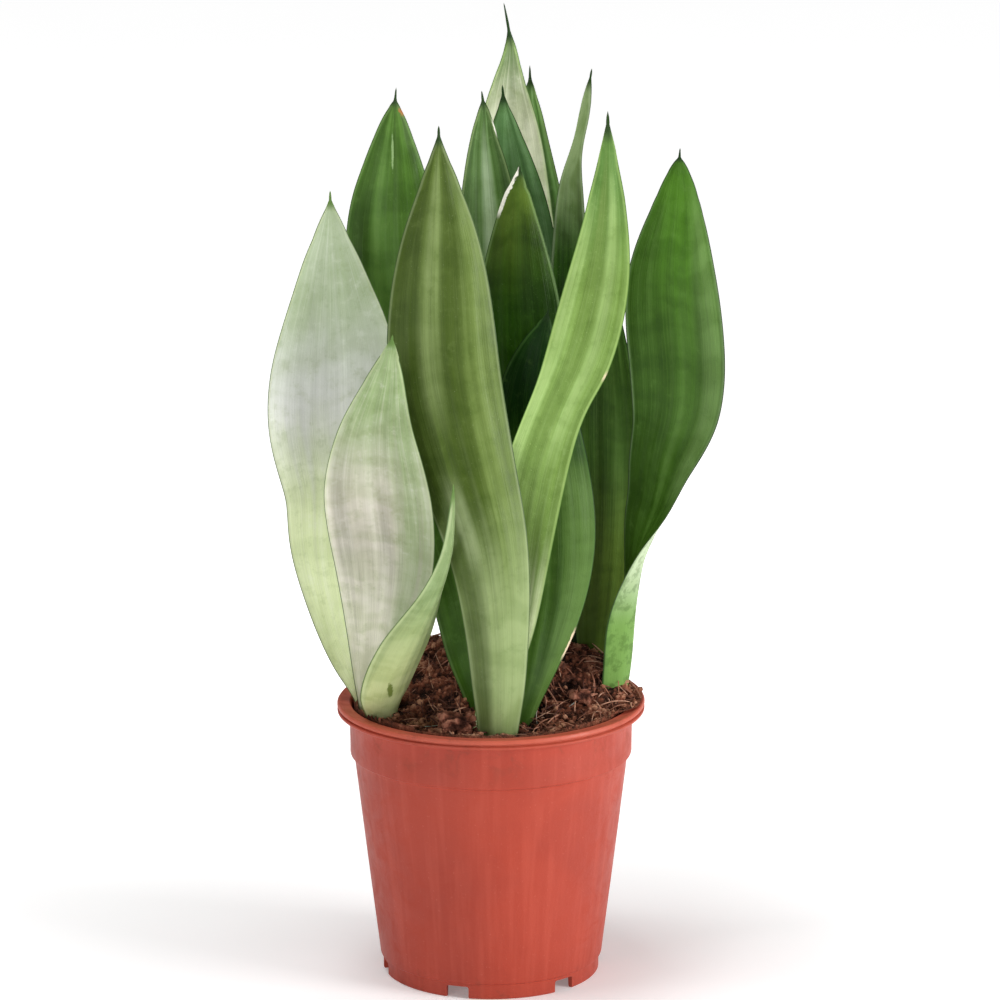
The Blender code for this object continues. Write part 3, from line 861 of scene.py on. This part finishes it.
# %% [markdown]
# ## The leaves
#
# A leaf of this plant is a long, thick, channelled blade with a sharp margin, and it ends in a
# small awl. Its solid is a chain of rings from the foot to the tip. That is a good cage for a
# smooth surface: a copy is merged, its loose triangles are turned back into the four-sided faces
# they came from, its two margins are creased, and a Subdivision Surface rounds the rest.
#
# The finish needs to know where on the blade it is. So every point first gets two readings:
# "blade" holds its place across from margin to margin (-1 to 1), its place along from foot to
# tip (0 to 1), and the half width there. "upper" is 1 on the face of the leaf and 0 on its back.

# %% Read the rings of a leaf
RING = 12


def neighbours(mesh):
    """For each point, the points that share an edge with it."""
    near = [set() for _ in mesh.vertices]
    for e in mesh.edges:
        a, b = e.vertices
        near[a].add(b)
        near[b].add(a)
    return near


def ring_sets(mesh, near):
    """The rings of points from the foot to the tip: each is next to the one before."""
    ring = set(sorted(range(len(mesh.vertices)), key=lambda i: mesh.vertices[i].co.z)[:RING])
    rings, seen = [ring], set(ring)
    while True:
        ring = set().union(*(near[i] for i in ring)) - seen
        if not ring:
            return rings
        rings.append(ring)
        seen |= ring


def loops_in_order(mesh, rings):
    """Each ring as a loop that runs the same way round, seen from the tip."""
    level = {i: k for k, ring in enumerate(rings) for i in ring}
    links = [{} for _ in rings]
    for face in mesh.polygons:
        corners = list(face.vertices)
        if len({level[i] for i in corners}) < 2:
            continue
        for a, b in zip(corners, corners[1:] + corners[:1]):
            if level[a] == level[b]:
                links[level[a]].setdefault(a, set()).add(b)
                links[level[a]].setdefault(b, set()).add(a)
    middle = [sum((mesh.vertices[i].co for i in ring), Vector()) / len(ring) for ring in rings]
    loops = []
    for k, ring in enumerate(rings[:-1]):
        loop = [min(ring)]
        while len(loop) < len(ring):
            step = [j for j in sorted(links[k][loop[-1]]) if j not in loop]
            loop.append(step[0])
        spots = [mesh.vertices[i].co for i in loop]
        area = sum((a.cross(b) for a, b in zip(spots, spots[1:] + spots[:1])), Vector())
        if area.dot(middle[k + 1] - middle[k]) < 0:
            loop.reverse()
        loops.append(loop)
    return loops


def sharpness(mesh, loop, k):
    """How pointed the ring is at a point and at the point opposite: small is sharp."""
    total = 0.0
    for at in (k, k + RING // 2):
        here = mesh.vertices[loop[at % RING]].co
        before = mesh.vertices[loop[(at - 1) % RING]].co - here
        after = mesh.vertices[loop[(at + 1) % RING]].co - here
        total += before.angle(after, math.pi)
    return total


def from_margin(mesh, loops, near):
    """Turns each loop so that it starts at the left margin."""
    out = []
    for loop in loops:
        spots = range(RING)
        if out:
            spots = [k for k in spots if loop[k] in near[out[-1][0]]] or spots
        start = min(spots, key=lambda k: sharpness(mesh, loop, k))
        if not out:
            other = (start + RING // 2) % RING
            if mesh.vertices[loop[other]].co.x < mesh.vertices[loop[start]].co.x:
                start = other
        out.append(loop[start:] + loop[:start])
    return out


# %% Write the readings and square the faces
def write_readings(mesh, loops, tip):
    """Stores blade and upper at each point of the cage."""
    spots = [mesh.vertices[i].co.copy() for i in range(len(mesh.vertices))]
    middles = [(spots[loop[0]] + spots[loop[RING // 2]]) / 2 for loop in loops] + [spots[tip]]
    lengths = np.cumsum([0.0] + [(b - a).length for a, b in zip(middles, middles[1:])])
    blade = np.zeros((len(spots), 3))
    upper = np.zeros(len(spots))
    for loop, along in zip(loops, lengths):
        left, right = spots[loop[0]], spots[loop[RING // 2]]
        span = right - left
        for k, i in enumerate(loop):
            across = 2 * (spots[i] - left).dot(span) / span.length_squared - 1
            blade[i] = (across, along / lengths[-1], span.length / 2)
            upper[i] = 0.5 if k % (RING // 2) == 0 else float(k < RING // 2)
    blade[tip] = (0.0, 1.0, 0.0)
    upper[tip] = 0.5
    mesh.attributes.new("blade", "FLOAT_VECTOR", "POINT").data.foreach_set("vector", blade.ravel())
    mesh.attributes.new("upper", "FLOAT", "POINT").data.foreach_set("value", upper)
    return lengths[-1]


def square_up(obj, loops, tip):
    """Dissolves the slanting edges, so that four-sided faces are left, and creases the margins."""
    place = {i: (k, n) for k, loop in enumerate(loops) for n, i in enumerate(loop)}

    def slanting(e):
        a, b = e.vertices
        if tip in (a, b):
            return False
        (ring_a, n_a), (ring_b, n_b) = place[a], place[b]
        if ring_a == ring_b:
            return (n_a - n_b) % RING not in (1, RING - 1)
        return n_a != n_b

    def margin(e):
        steps = [place[i] if i in place else (len(loops), None) for i in e.vertices]
        return steps[0][0] != steps[1][0] and all(n in (0, RING // 2, None) for _, n in steps)

    slants = choose(obj, "edges", slanting)
    bpy.ops.mesh.dissolve_edges(use_verts=False, use_face_split=False)
    done()
    margins = choose(obj, "edges", margin)
    bpy.ops.transform.edge_crease(value=1.0)
    done()
    choose(obj, "vertices", lambda w: w.index == tip)
    bpy.ops.transform.vert_crease(value=1.0)
    done()
    return slants, margins


# %% [markdown]
# A real blade is not as even as its cage. It has shallow ribs along it, its margins wander and
# ripple a little, and its face has slow dents. These are small moves of the finished points
# along their normals, fading out towards the tip, so that the blade stays in its place.

# %% Give a blade its unevenness
def readings(obj):
    """The blade and upper readings of every point."""
    count = len(obj.data.vertices)
    blade, upper = np.empty(count * 3), np.empty(count)
    obj.data.attributes["blade"].data.foreach_get("vector", blade)
    obj.data.attributes["upper"].data.foreach_get("value", upper)
    return (*blade.reshape(-1, 3).T, upper)


def leaf_relief(obj, seed, rib_depth):
    """Ribs, dents and a rippled margin, moved out of the smooth blade."""
    rows = points(obj)
    across, along, half, upper = readings(obj)
    normals = np.empty(rows.size)
    obj.data.vertex_normals.foreach_get("vector", normals)
    normals = normals.reshape(-1, 3)
    side = np.where(upper > 0.5, 1.0, -1.0)
    fade = eased(half / (6 * MM)) * (1 - np.abs(across) ** 6)
    distance = across * half / MM
    ribs = np.sin(distance * 1.25 + seed) + 0.6 * np.sin(distance * 0.71 + 2.1 * seed + 1.5 * along)
    dents = np.array([noise.noise(Vector((a * 1.3, t * 5.0, seed * 3.7)))
                      for a, t in zip(across, along)])
    push = (rib_depth * ribs + side * 0.55 * dents) * MM * fade
    ripple = np.array([noise.noise(Vector((s, t * 11.0, seed * 1.9)))
                       for s, t in zip(np.sign(across), along)])
    edge = np.abs(across) ** 5 * eased(half / (8 * MM)) * eased(along / 0.25)
    rows = rows + normals * push[:, None]
    rows[:, 1] += ripple * edge * 0.7 * MM
    move_points(obj, rows)


# %% [markdown]
# The blade ends in an awl, a round spine a few millimetres long. The cage only tapers to a
# point there. So each slice of the last stretch is made wider or narrower about the middle of
# the blade, and the last few slices keep the thickness of the spine.
#
# The foot of one leaf is also turned further round than its cage: it is twisted about its middle.

# %% Draw the tip in to an awl
AT_TIP = 0.9999
RISE_STARTS, RISE_SPAN = 0.82, 0.18


def middle_line(rows, across, along):
    """The middle and half width of the blade, read from its two margins."""
    steps = np.linspace(0.0, 1.0, 400)
    sides = []
    for side in (-1.0, 1.0):
        on = (np.abs(across - side) < 0.001) | (along > AT_TIP)
        order = np.argsort(along[on])
        sides.append([np.interp(steps, along[on][order], rows[on][order][:, k]) for k in range(3)])
    left, right = np.array(sides)
    return steps, (left + right) / 2, np.linalg.norm(right - left, axis=0) / 2


def draw_tip(obj, length, awl, reach, power, rise):
    """Shapes the last stretch: a spine of one length, then a swell over a reach."""
    rows = points(obj)
    across, along, half, _ = readings(obj)
    steps, middle, wide = middle_line(rows, across, along)
    to_tip = (1 - along) * length
    now = np.interp(along, steps, wide)
    full = np.interp(1 - reach / length, steps, wide)
    swell = np.clip((to_tip - awl) / (reach - awl), 0, 1) ** power * full
    spine = 0.18 * MM + 0.35 * MM * np.clip(to_tip / awl, 0, 1)
    narrow = np.where(to_tip < reach, np.maximum(swell, spine) / np.maximum(now, 0.02 * MM), 1.0)
    centre = np.column_stack([np.interp(along, steps, middle[k]) for k in range(3)])
    moved = centre + (rows - centre) * narrow[:, None]
    rows = np.where((along < AT_TIP)[:, None], moved, rows)
    rows[:, 2] += rise * eased((along - RISE_STARTS) / RISE_SPAN)
    move_points(obj, rows)
    blade = np.column_stack([across, along, half * np.clip(narrow, 0, 3)])
    obj.data.attributes["blade"].data.foreach_set("vector", blade.ravel())


def twist_foot(obj, low, high, degrees):
    """Turns the blade about its middle below a height, fading to nothing at another."""
    rows = points(obj)
    across, along, _, _ = readings(obj)
    steps, middle, _ = middle_line(rows, across, along)
    centre = np.column_stack([np.interp(along, steps, middle[k]) for k in range(2)])
    angle = np.radians(degrees) * (1 - eased((rows[:, 2] - low) / (high - low)))
    off = rows[:, :2] - centre
    c, s = np.cos(angle), np.sin(angle)
    rows[:, 0] = centre[:, 0] + c * off[:, 0] - s * off[:, 1]
    rows[:, 1] = centre[:, 1] + s * off[:, 0] + c * off[:, 1]
    move_points(obj, rows)


# %% [markdown]
# ## The leaf finish
#
# One recipe serves all fifteen leaves, with other shades for each. From broad to fine, it lays
# down long streaks that run with the blade, uneven bands that run across it, a lighter foot, a
# darker tip, then the margin: a thin dark line with a pale one inside it, which is a painted
# highlight along the margin. Scars and spots are added where a leaf has them. The surface is waxy,
# with fine veins, so its gloss is broken up.

# %% Mix a leaf
SHADOW_TINT = (0.62, 0.68, 0.5, 1.0)


def streaks(f, across, along, seed, width, length, detail=2.0):
    """Noise stretched along the blade."""
    spot = f.join(f.math("MULTIPLY", across, width), f.math("MULTIPLY", along, length), seed)
    return f.grain(spot, 1.0, detail, 0.55)


def long_stripe(f, across, along, stripe):
    """A soft stripe from one place at the foot to another at the tip."""
    at_foot, at_tip, width, start, end, _, _ = stripe
    line = f.math("MULTIPLY_ADD", along, at_tip - at_foot, at_foot)
    off = f.math("ABSOLUTE", f.math("SUBTRACT", across, line))
    mask = f.ease(off, width, width * 0.25)
    mask = f.math("MULTIPLY", mask, f.ease(along, start, start + 0.1))
    return f.math("MULTIPLY", mask, f.ease(along, end, end - 0.1))


def leaf_finish(name, seed, body, pale, deep, foot, foot_height=0.16, crown=None,
                crown_height=0.3, tip=(40, 64, 26), edge=(44, 72, 26), speck_and_margin_highlight=(168, 190, 128),
                streak=0.8, bands=0.3, stripes=(), scars=(), spots=(), gloss=0.42, back=None,
                shine=0.15):
    f = Finish(name)
    across, along, half = f.split(f.reading("blade", "Vector"))
    upper = f.reading("upper")
    place = f.place()
    height = f.split(place)[2]
    to_edge = f.math("MULTIPLY", f.math("SUBTRACT", 1.0, f.math("ABSOLUTE", across)), half)

    broad = streaks(f, across, along, seed, 2.1, 1.3)
    middle = streaks(f, across, along, seed + 7.3, 7.5, 2.2, 3.0)
    fine = streaks(f, across, along, seed + 11.9, 34.0, 5.0, 3.0)
    sway = f.join(f.math("MULTIPLY", across, 1.6), f.math("MULTIPLY", along, 5.0), seed + 2.0)
    warp = f.math("MULTIPLY_ADD", f.grain(sway, 1.0, 1.0), 1.1, f.math("MULTIPLY", along, 26.0))
    banding = f.grain(f.join(f.math("MULTIPLY", across, 0.9), warp, seed + 4.0), 1.0, 1.5, 0.45)
    mottle = f.grain(place, 210.0, 4.0, 0.65)
    dots = f.grain(place, 1500.0, 2.0, 0.6)

    colour = f.mix(f.ease(broad, 0.32, 0.68, 0.0, streak), shade(*deep), shade(*body))
    colour = f.mix(f.ease(broad, 0.48, 0.74, 0.0, streak * 0.8), colour, shade(*pale))
    if crown:
        up = f.math("MULTIPLY_ADD", broad, 0.02, height)
        colour = f.mix(f.ease(up, crown_height - 0.02, crown_height + 0.03), colour, shade(*crown))
    rise = f.math("MULTIPLY_ADD", middle, -0.035, height)
    low = f.ease(rise, foot_height, foot_height - 0.055)
    colour = f.mix(low, colour, shade(*foot))
    for stripe in stripes:
        uneven = f.ease(middle, 0.2, 0.6, 0.55, 1.0)
        mask = f.math("MULTIPLY", long_stripe(f, across, along, stripe), uneven)
        colour = f.mix(f.math("MULTIPLY", mask, stripe[6]), colour, shade(*stripe[5]))
    colour = f.mix(f.ease(middle, 0.46, 0.74, 0.0, 0.3 * streak), colour, shade(*pale))
    colour = f.mix(f.ease(middle, 0.5, 0.26, 0.0, 0.3 * streak), colour, shade(*deep))
    colour = f.mix(f.ease(fine, 0.5, 0.74, 0.0, 0.14), colour, shade(*pale))
    colour = f.mix(f.ease(fine, 0.48, 0.28, 0.0, 0.14), colour, shade(*deep))
    colour = f.mix(f.ease(banding, 0.4, 0.66, 0.0, 2.0 * bands), colour, SHADOW_TINT, "MULTIPLY")
    colour = f.mix(f.ease(mottle, 0.54, 0.75, 0.0, 0.2), colour, shade(*pale))
    colour = f.mix(f.ease(mottle, 0.5, 0.3, 0.0, 0.38), colour, SHADOW_TINT, "MULTIPLY")
    colour = f.mix(f.ease(dots, 0.66, 0.76, 0.0, 0.22), colour, shade(*speck_and_margin_highlight))
    if back:
        under = f.mix(f.ease(height, 0.138, 0.17), shade(*back[0]), shade(*back[1]))
        under = f.mix(f.ease(mottle, 0.46, 0.6, 0.0, 0.4), under, shade(*deep))
        colour = f.mix(f.ease(upper, 0.62, 0.38), colour, under)

    colour = f.mix(f.ease(along, 0.95, 1.0, 0.0, 0.5), colour, shade(*tip))
    # A pale line just inside the margin: a painted highlight along the margin's edge, where the
    # blade rounds over.
    ragged = f.math("MULTIPLY_ADD", middle, 0.0006, f.math("SUBTRACT", to_edge, 0.0003))
    margin_highlight = f.ease(ragged, 0.0014, 0.0007, 0.0, 0.3)
    colour = f.mix(margin_highlight, colour, shade(*speck_and_margin_highlight))
    rim_on = f.ease(f.math("MULTIPLY_ADD", middle, 0.0003, to_edge), 0.0006, 0.0003)
    colour = f.mix(f.math("MULTIPLY", rim_on, 0.85), colour, shade(*edge))
    spine = f.math("MULTIPLY", f.ease(half, 0.0024, 0.0009), f.ease(along, 0.6, 0.8))
    colour = f.mix(spine, colour, shade(*tip))
    scarred = None
    for side, low_z, high_z, width, paint in scars:
        on_side = f.ease(f.math("MULTIPLY", across, side), 0.0, 0.1)
        begins = f.ease(height, low_z, low_z + 0.004)
        span = f.math("MULTIPLY", begins, f.ease(height, high_z, high_z - 0.004))
        torn = f.math("MULTIPLY_ADD", f.grain(place, 700.0, 3.0), -0.9 * width, to_edge)
        mask = f.math("MULTIPLY", on_side, span)
        mask = f.math("MULTIPLY", mask, f.ease(torn, 0.5 * width, 0.3 * width))
        colour = f.mix(mask, colour, shade(*paint))
        scarred = mask if scarred is None else f.math("MAXIMUM", scarred, mask)
    for spot_x, spot_z, wide, tall, paint in spots:
        x = f.split(place)[0]
        dx = f.math("DIVIDE", f.math("SUBTRACT", x, spot_x), wide)
        dz = f.math("DIVIDE", f.math("SUBTRACT", height, spot_z), tall)
        off = f.math("SQRT", f.math("ADD", f.math("MULTIPLY", dx, dx), f.math("MULTIPLY", dz, dz)))
        off = f.math("ADD", off, f.math("MULTIPLY_ADD", f.grain(place, 800.0, 3.0), 0.9, -0.45))
        colour = f.mix(f.ease(off, 1.0, 0.6, 0.0, 0.9), colour, shade(*paint))

    veins = f.math("MULTIPLY_ADD", fine, 0.8, f.math("MULTIPLY", middle, 0.7))
    relief = f.math("MULTIPLY_ADD", dots, 0.25, f.math("MULTIPLY_ADD", mottle, 0.5, veins))
    relief = f.math("MULTIPLY_ADD", banding, 0.4, relief)
    if scarred is not None:
        relief = f.math("MULTIPLY_ADD", scarred, -1.2, relief)
    rough = f.ease(f.math("MULTIPLY_ADD", fine, 0.5, f.math("MULTIPLY", mottle, 0.5)), 0.3, 0.7,
                   gloss - 0.08, gloss + 0.1)
    return f.close(colour, rough, relief, depth=0.00045, strength=0.4,
                   Specular_IOR_Level=shine)


# %% [markdown]
# The old outer leaves are silver, the young inner ones fresh green, the shaded ones dark. A few
# named shades serve all of them, as a painter's tray does, and leaves share them. The paler and
# deeper streaks of a leaf are worked out from its main tone, so they always belong together.

# %% The shades of each leaf
# Pale, powdery shades
CHALK = (250, 252, 246)
DOVE = (215, 210, 192)
BUTTER = (228, 240, 190)
IVORY = (250, 250, 220)
LICHEN = (176, 192, 156)
STRAW = (186, 194, 138)
CREAM = (255, 252, 236)

# Greens, roughly from light to dark
SAGE = (142, 164, 112)
SPRING = (126, 180, 88)
LIME = (126, 160, 74)
SEA = (110, 158, 92)
IVY = (88, 126, 56)
OLIVE = (88, 112, 38)
FERN = (80, 124, 36)
BOTTLE = (68, 110, 28)
MOSS = (58, 94, 20)
PINE = (46, 92, 6)
# Near black: partly the dark green of a shaded leaf, partly painted shade where the lower right
# leaf's top stands between other leaves.
DARK_GREEN_AND_SHADE = (10, 48, 4)

# Marks: the orange dot, torn and corky margins, a bruise
EMBER = (236, 96, 60)
CORK = (216, 196, 164)
BRUISE = (96, 112, 44)


def paler(tone, part=0.16):
    """The tone, moved a part of the way to white."""
    return tuple(round(c + (255 - c) * part) for c in tone)


def deeper(tone, part=0.28):
    """The tone, moved a part of the way to black."""
    return tuple(round(c * (1.0 - part)) for c in tone)


def streaked(tone, light=0.16, dark=0.28):
    """A leaf's main tone with its paler and its deeper streaks."""
    return dict(body=tone, pale=paler(tone, light), deep=deeper(tone, dark))


SILVER = dict(edge=(58, 88, 36), speck_and_margin_highlight=(196, 208, 160), tip=(92, 122, 60))
FRESH = dict(edge=(66, 104, 36), speck_and_margin_highlight=(184, 212, 130))
DARK = dict(edge=(16, 40, 8), speck_and_margin_highlight=(84, 120, 60), tip=(30, 54, 20), shine=0.1)

LEAVES = {
    "leaf_outer_left": ("silver_leaf", dict(
        SILVER, seed=1.0, **streaked(CHALK, 0.0, 0.14), foot=BUTTER, foot_height=0.215,
        crown=LICHEN, crown_height=0.25, bands=0.13, streak=0.55)),
    "leaf_small_left": ("silver_leaf", dict(
        SILVER, seed=2.0, **streaked(DOVE, 0.35, 0.24), foot=CREAM, foot_height=0.17,
        crown=SAGE, crown_height=0.222, bands=0.2, streak=0.7,
        stripes=[(0.6, 0.75, 0.6, 0.1, 0.9, SAGE, 0.75)])),
    "leaf_low_rolled": ("pale_leaf", dict(
        SILVER, seed=3.0, **streaked(SAGE, 0.08, 0.12), foot=STRAW, foot_height=0.15,
        bands=0.2, streak=0.5, spots=[(-0.0385, 0.121, 0.0013, 0.0042, BRUISE)])),
    "leaf_back_left": ("mid_green_leaf", dict(
        seed=4.0, **streaked(FERN), foot=MOSS, foot_height=0.16, bands=0.3,
        speck_and_margin_highlight=paler(FERN, 0.3), scars=[(1.0, 0.3345, 0.3390, 0.0014, EMBER)],
        spots=[(-0.0375, 0.321, 0.0005, 0.008, paler(FERN, 0.35))])),
    "leaf_central": ("olive_leaf", dict(
        seed=5.0, **streaked(OLIVE), foot=paler(OLIVE, 0.3), foot_height=0.19, bands=0.22,
        speck_and_margin_highlight=paler(OLIVE, 0.4), streak=0.55,
        stripes=[(-0.62, -0.7, 0.5, 0.02, 0.95, deeper(OLIVE), 0.8),
                 (-0.25, 0.42, 0.36, 0.4, 1.0, deeper(OLIVE), 0.85),
                 (-0.45, -0.12, 0.28, 0.52, 1.0, paler(OLIVE, 0.25), 0.8),
                 (0.35, 0.85, 0.42, 0.25, 0.97, paler(OLIVE), 0.7),
                 (-0.3, -0.5, 0.25, 0.3, 0.5, paler(OLIVE, 0.4), 0.7)])),
    "leaf_lime": ("lime_leaf", dict(
        FRESH, seed=6.0, **streaked(LIME, 0.2, 0.2), foot=BUTTER, foot_height=0.165,
        crown=IVY, crown_height=0.3, bands=0.14, streak=0.6,
        stripes=[(0.1, -0.2, 0.34, 0.2, 0.97, deeper(LIME, 0.2), 0.85),
                 (0.5, 0.3, 0.3, 0.45, 0.95, paler(LIME, 0.2), 0.6),
                 (-0.8, -0.75, 0.3, 0.3, 0.9, paler(LIME, 0.2), 0.7)],
        scars=[(1.0, 0.2385, 0.2445, 0.0012, CORK)])),
    # Its top is painted near black: partly its own dark green, partly painted shade between the
    # leaves in front.
    "leaf_lower_right": ("dark_leaf", dict(
        DARK, seed=7.0, **streaked(MOSS), foot=deeper(MOSS), foot_height=0.13, crown=DARK_GREEN_AND_SHADE,
        crown_height=0.216, bands=0.14, streak=0.6,
        stripes=[(0.8, 0.7, 0.5, 0.05, 0.7, paler(MOSS), 0.7)],
        scars=[(1.0, 0.128, 0.142, 0.0010, CORK)])),
    "leaf_middle": ("mid_green_leaf", dict(
        seed=8.0, **streaked(PINE, 0.12, 0.4), foot=deeper(MOSS), foot_height=0.13,
        crown=OLIVE, crown_height=0.286, bands=0.45, shine=0.1, speck_and_margin_highlight=paler(FERN, 0.35),
        stripes=[(0.5, 0.62, 0.7, 0.3, 0.96, deeper(PINE, 0.45), 0.75)],
        scars=[(-1.0, 0.296, 0.322, 0.0017, CREAM)])),
    "leaf_centre_back": ("mid_green_leaf", dict(
        seed=9.0, **streaked(IVY, 0.25), foot=MOSS, bands=0.2,
        stripes=[(0.2, 0.05, 0.32, 0.4, 0.97, paler(IVY, 0.45), 0.85)],
        scars=[(1.0, 0.325, 0.334, 0.0006, CREAM)])),
    "leaf_blue_back": ("dark_leaf", dict(
        DARK, seed=10.0, **streaked(SEA, 0.2), foot=MOSS, bands=0.16)),
    "leaf_tallest": ("lime_leaf", dict(
        FRESH, seed=11.0, **streaked(IVORY, 0.1, 0.14), foot=LICHEN, crown=BOTTLE,
        crown_height=0.343, bands=0.24, tip=(30, 58, 18))),
    "leaf_right_back": ("mid_green_leaf", dict(
        seed=12.0, **streaked(SPRING, 0.3, 0.38), foot=IVY, bands=0.2)),
    "leaf_twisted": ("mid_green_leaf", dict(
        seed=13.0, **streaked(PINE, 0.14, 0.35), foot=deeper(PINE, 0.5), foot_height=0.26,
        crown=SAGE, crown_height=0.305, bands=0.42, shine=0.1, speck_and_margin_highlight=LICHEN)),
    "leaf_big_right": ("dark_leaf", dict(
        DARK, seed=14.0, **streaked(BOTTLE), foot=MOSS, foot_height=0.18,
        crown=BOTTLE, crown_height=0.275, bands=0.3, back=(paler(FERN), LICHEN), streak=0.6,
        stripes=[(-0.8, -0.8, 0.7, 0.1, 0.97, deeper(BOTTLE), 0.7),
                 (0.9, 0.9, 0.6, 0.4, 0.97, paler(BOTTLE, 0.25), 0.6)])),
    "leaf_slim_right": ("mid_green_leaf", dict(
        DARK, seed=15.0, **streaked(MOSS), foot=OLIVE, foot_height=0.19, bands=0.22)),
}

# Length of the awl (mm), reach of the swell below it (mm), how round the swell is (a power),
# and how far the tip is drawn up (mm)
TIPS = {
    "leaf_outer_left": (2.4, 25.0, 1.0, 3.0), "leaf_small_left": (1.5, 21.0, 0.85, 3.0),
    "leaf_low_rolled": (1.5, 12.0, 0.7, 5.0), "leaf_back_left": (4.4, 26.0, 0.78, 2.3),
    "leaf_central": (2.2, 22.0, 1.12, 0.3), "leaf_lime": (2.4, 30.0, 1.0, 2.3),
    "leaf_lower_right": (1.5, 15.0, 0.9, 1.0), "leaf_middle": (0.6, 10.0, 0.9, 0.0),
    "leaf_centre_back": (3.0, 21.0, 0.78, 0.0), "leaf_blue_back": (2.4, 24.0, 1.0, -1.6),
    "leaf_tallest": (8.0, 33.0, 1.25, 0.0), "leaf_right_back": (4.4, 20.0, 0.8, 0.3),
    "leaf_twisted": (2.0, 12.0, 0.8, 1.0), "leaf_big_right": (3.2, 24.0, 0.7, 1.4),
    "leaf_slim_right": (0.8, 12.0, 0.6, 9.0),
}
# Below the first height (m) the foot is turned further by the degrees, above the second not
TWISTS = {"leaf_big_right": (0.135, 0.185, -30.0)}


# %% Make every leaf
LEVELS = 3
RIB_DEPTH = 0.09
SAME_POINT = 0.000002


def make_leaf(node, slot, shades):
    """One finished leaf: a copy of its solid, squared, rounded, made uneven and painted."""
    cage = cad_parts[node].copy()
    cage.data = cage.data.copy()
    cage.parent = None
    bpy.context.scene.collection.objects.link(cage)
    pick(cage)
    bpy.ops.object.mode_set(mode="EDIT")
    bpy.ops.mesh.select_all(action="SELECT")
    bpy.ops.mesh.remove_doubles(threshold=SAME_POINT)
    done()
    bpy.ops.mesh.customdata_custom_splitnormals_clear()
    mesh = cage.data
    near = neighbours(mesh)
    rings = ring_sets(mesh, near)
    loops = from_margin(mesh, loops_in_order(mesh, rings), near)
    tip = next(iter(rings[-1]))
    length = write_readings(mesh, loops, tip)
    slants, margins = square_up(cage, loops, tip)
    modify(cage, "SUBSURF", levels=LEVELS, render_levels=LEVELS)
    leaf_relief(cage, shades["seed"], RIB_DEPTH)
    awl, reach, power, rise = TIPS[node]
    draw_tip(cage, length, awl * MM, reach * MM, power, rise * MM)
    if node in TWISTS:
        twist_foot(cage, *TWISTS[node])
    cage.data.materials.clear()
    name = node.replace("leaf_", "blade_")
    cage.data.materials.append(leaf_finish(name + "_skin", **shades))
    pick(cage)
    bpy.ops.object.shade_smooth_by_angle(angle=math.radians(60))
    finish_piece(cage, name, slot, node)
    print(f"  {length / MM:.0f} mm long, {len(rings)} rings,",
          f"{slants} slants, {margins} margin edges")


for node, (slot, shades) in LEAVES.items():
    make_leaf(node, slot, shades)
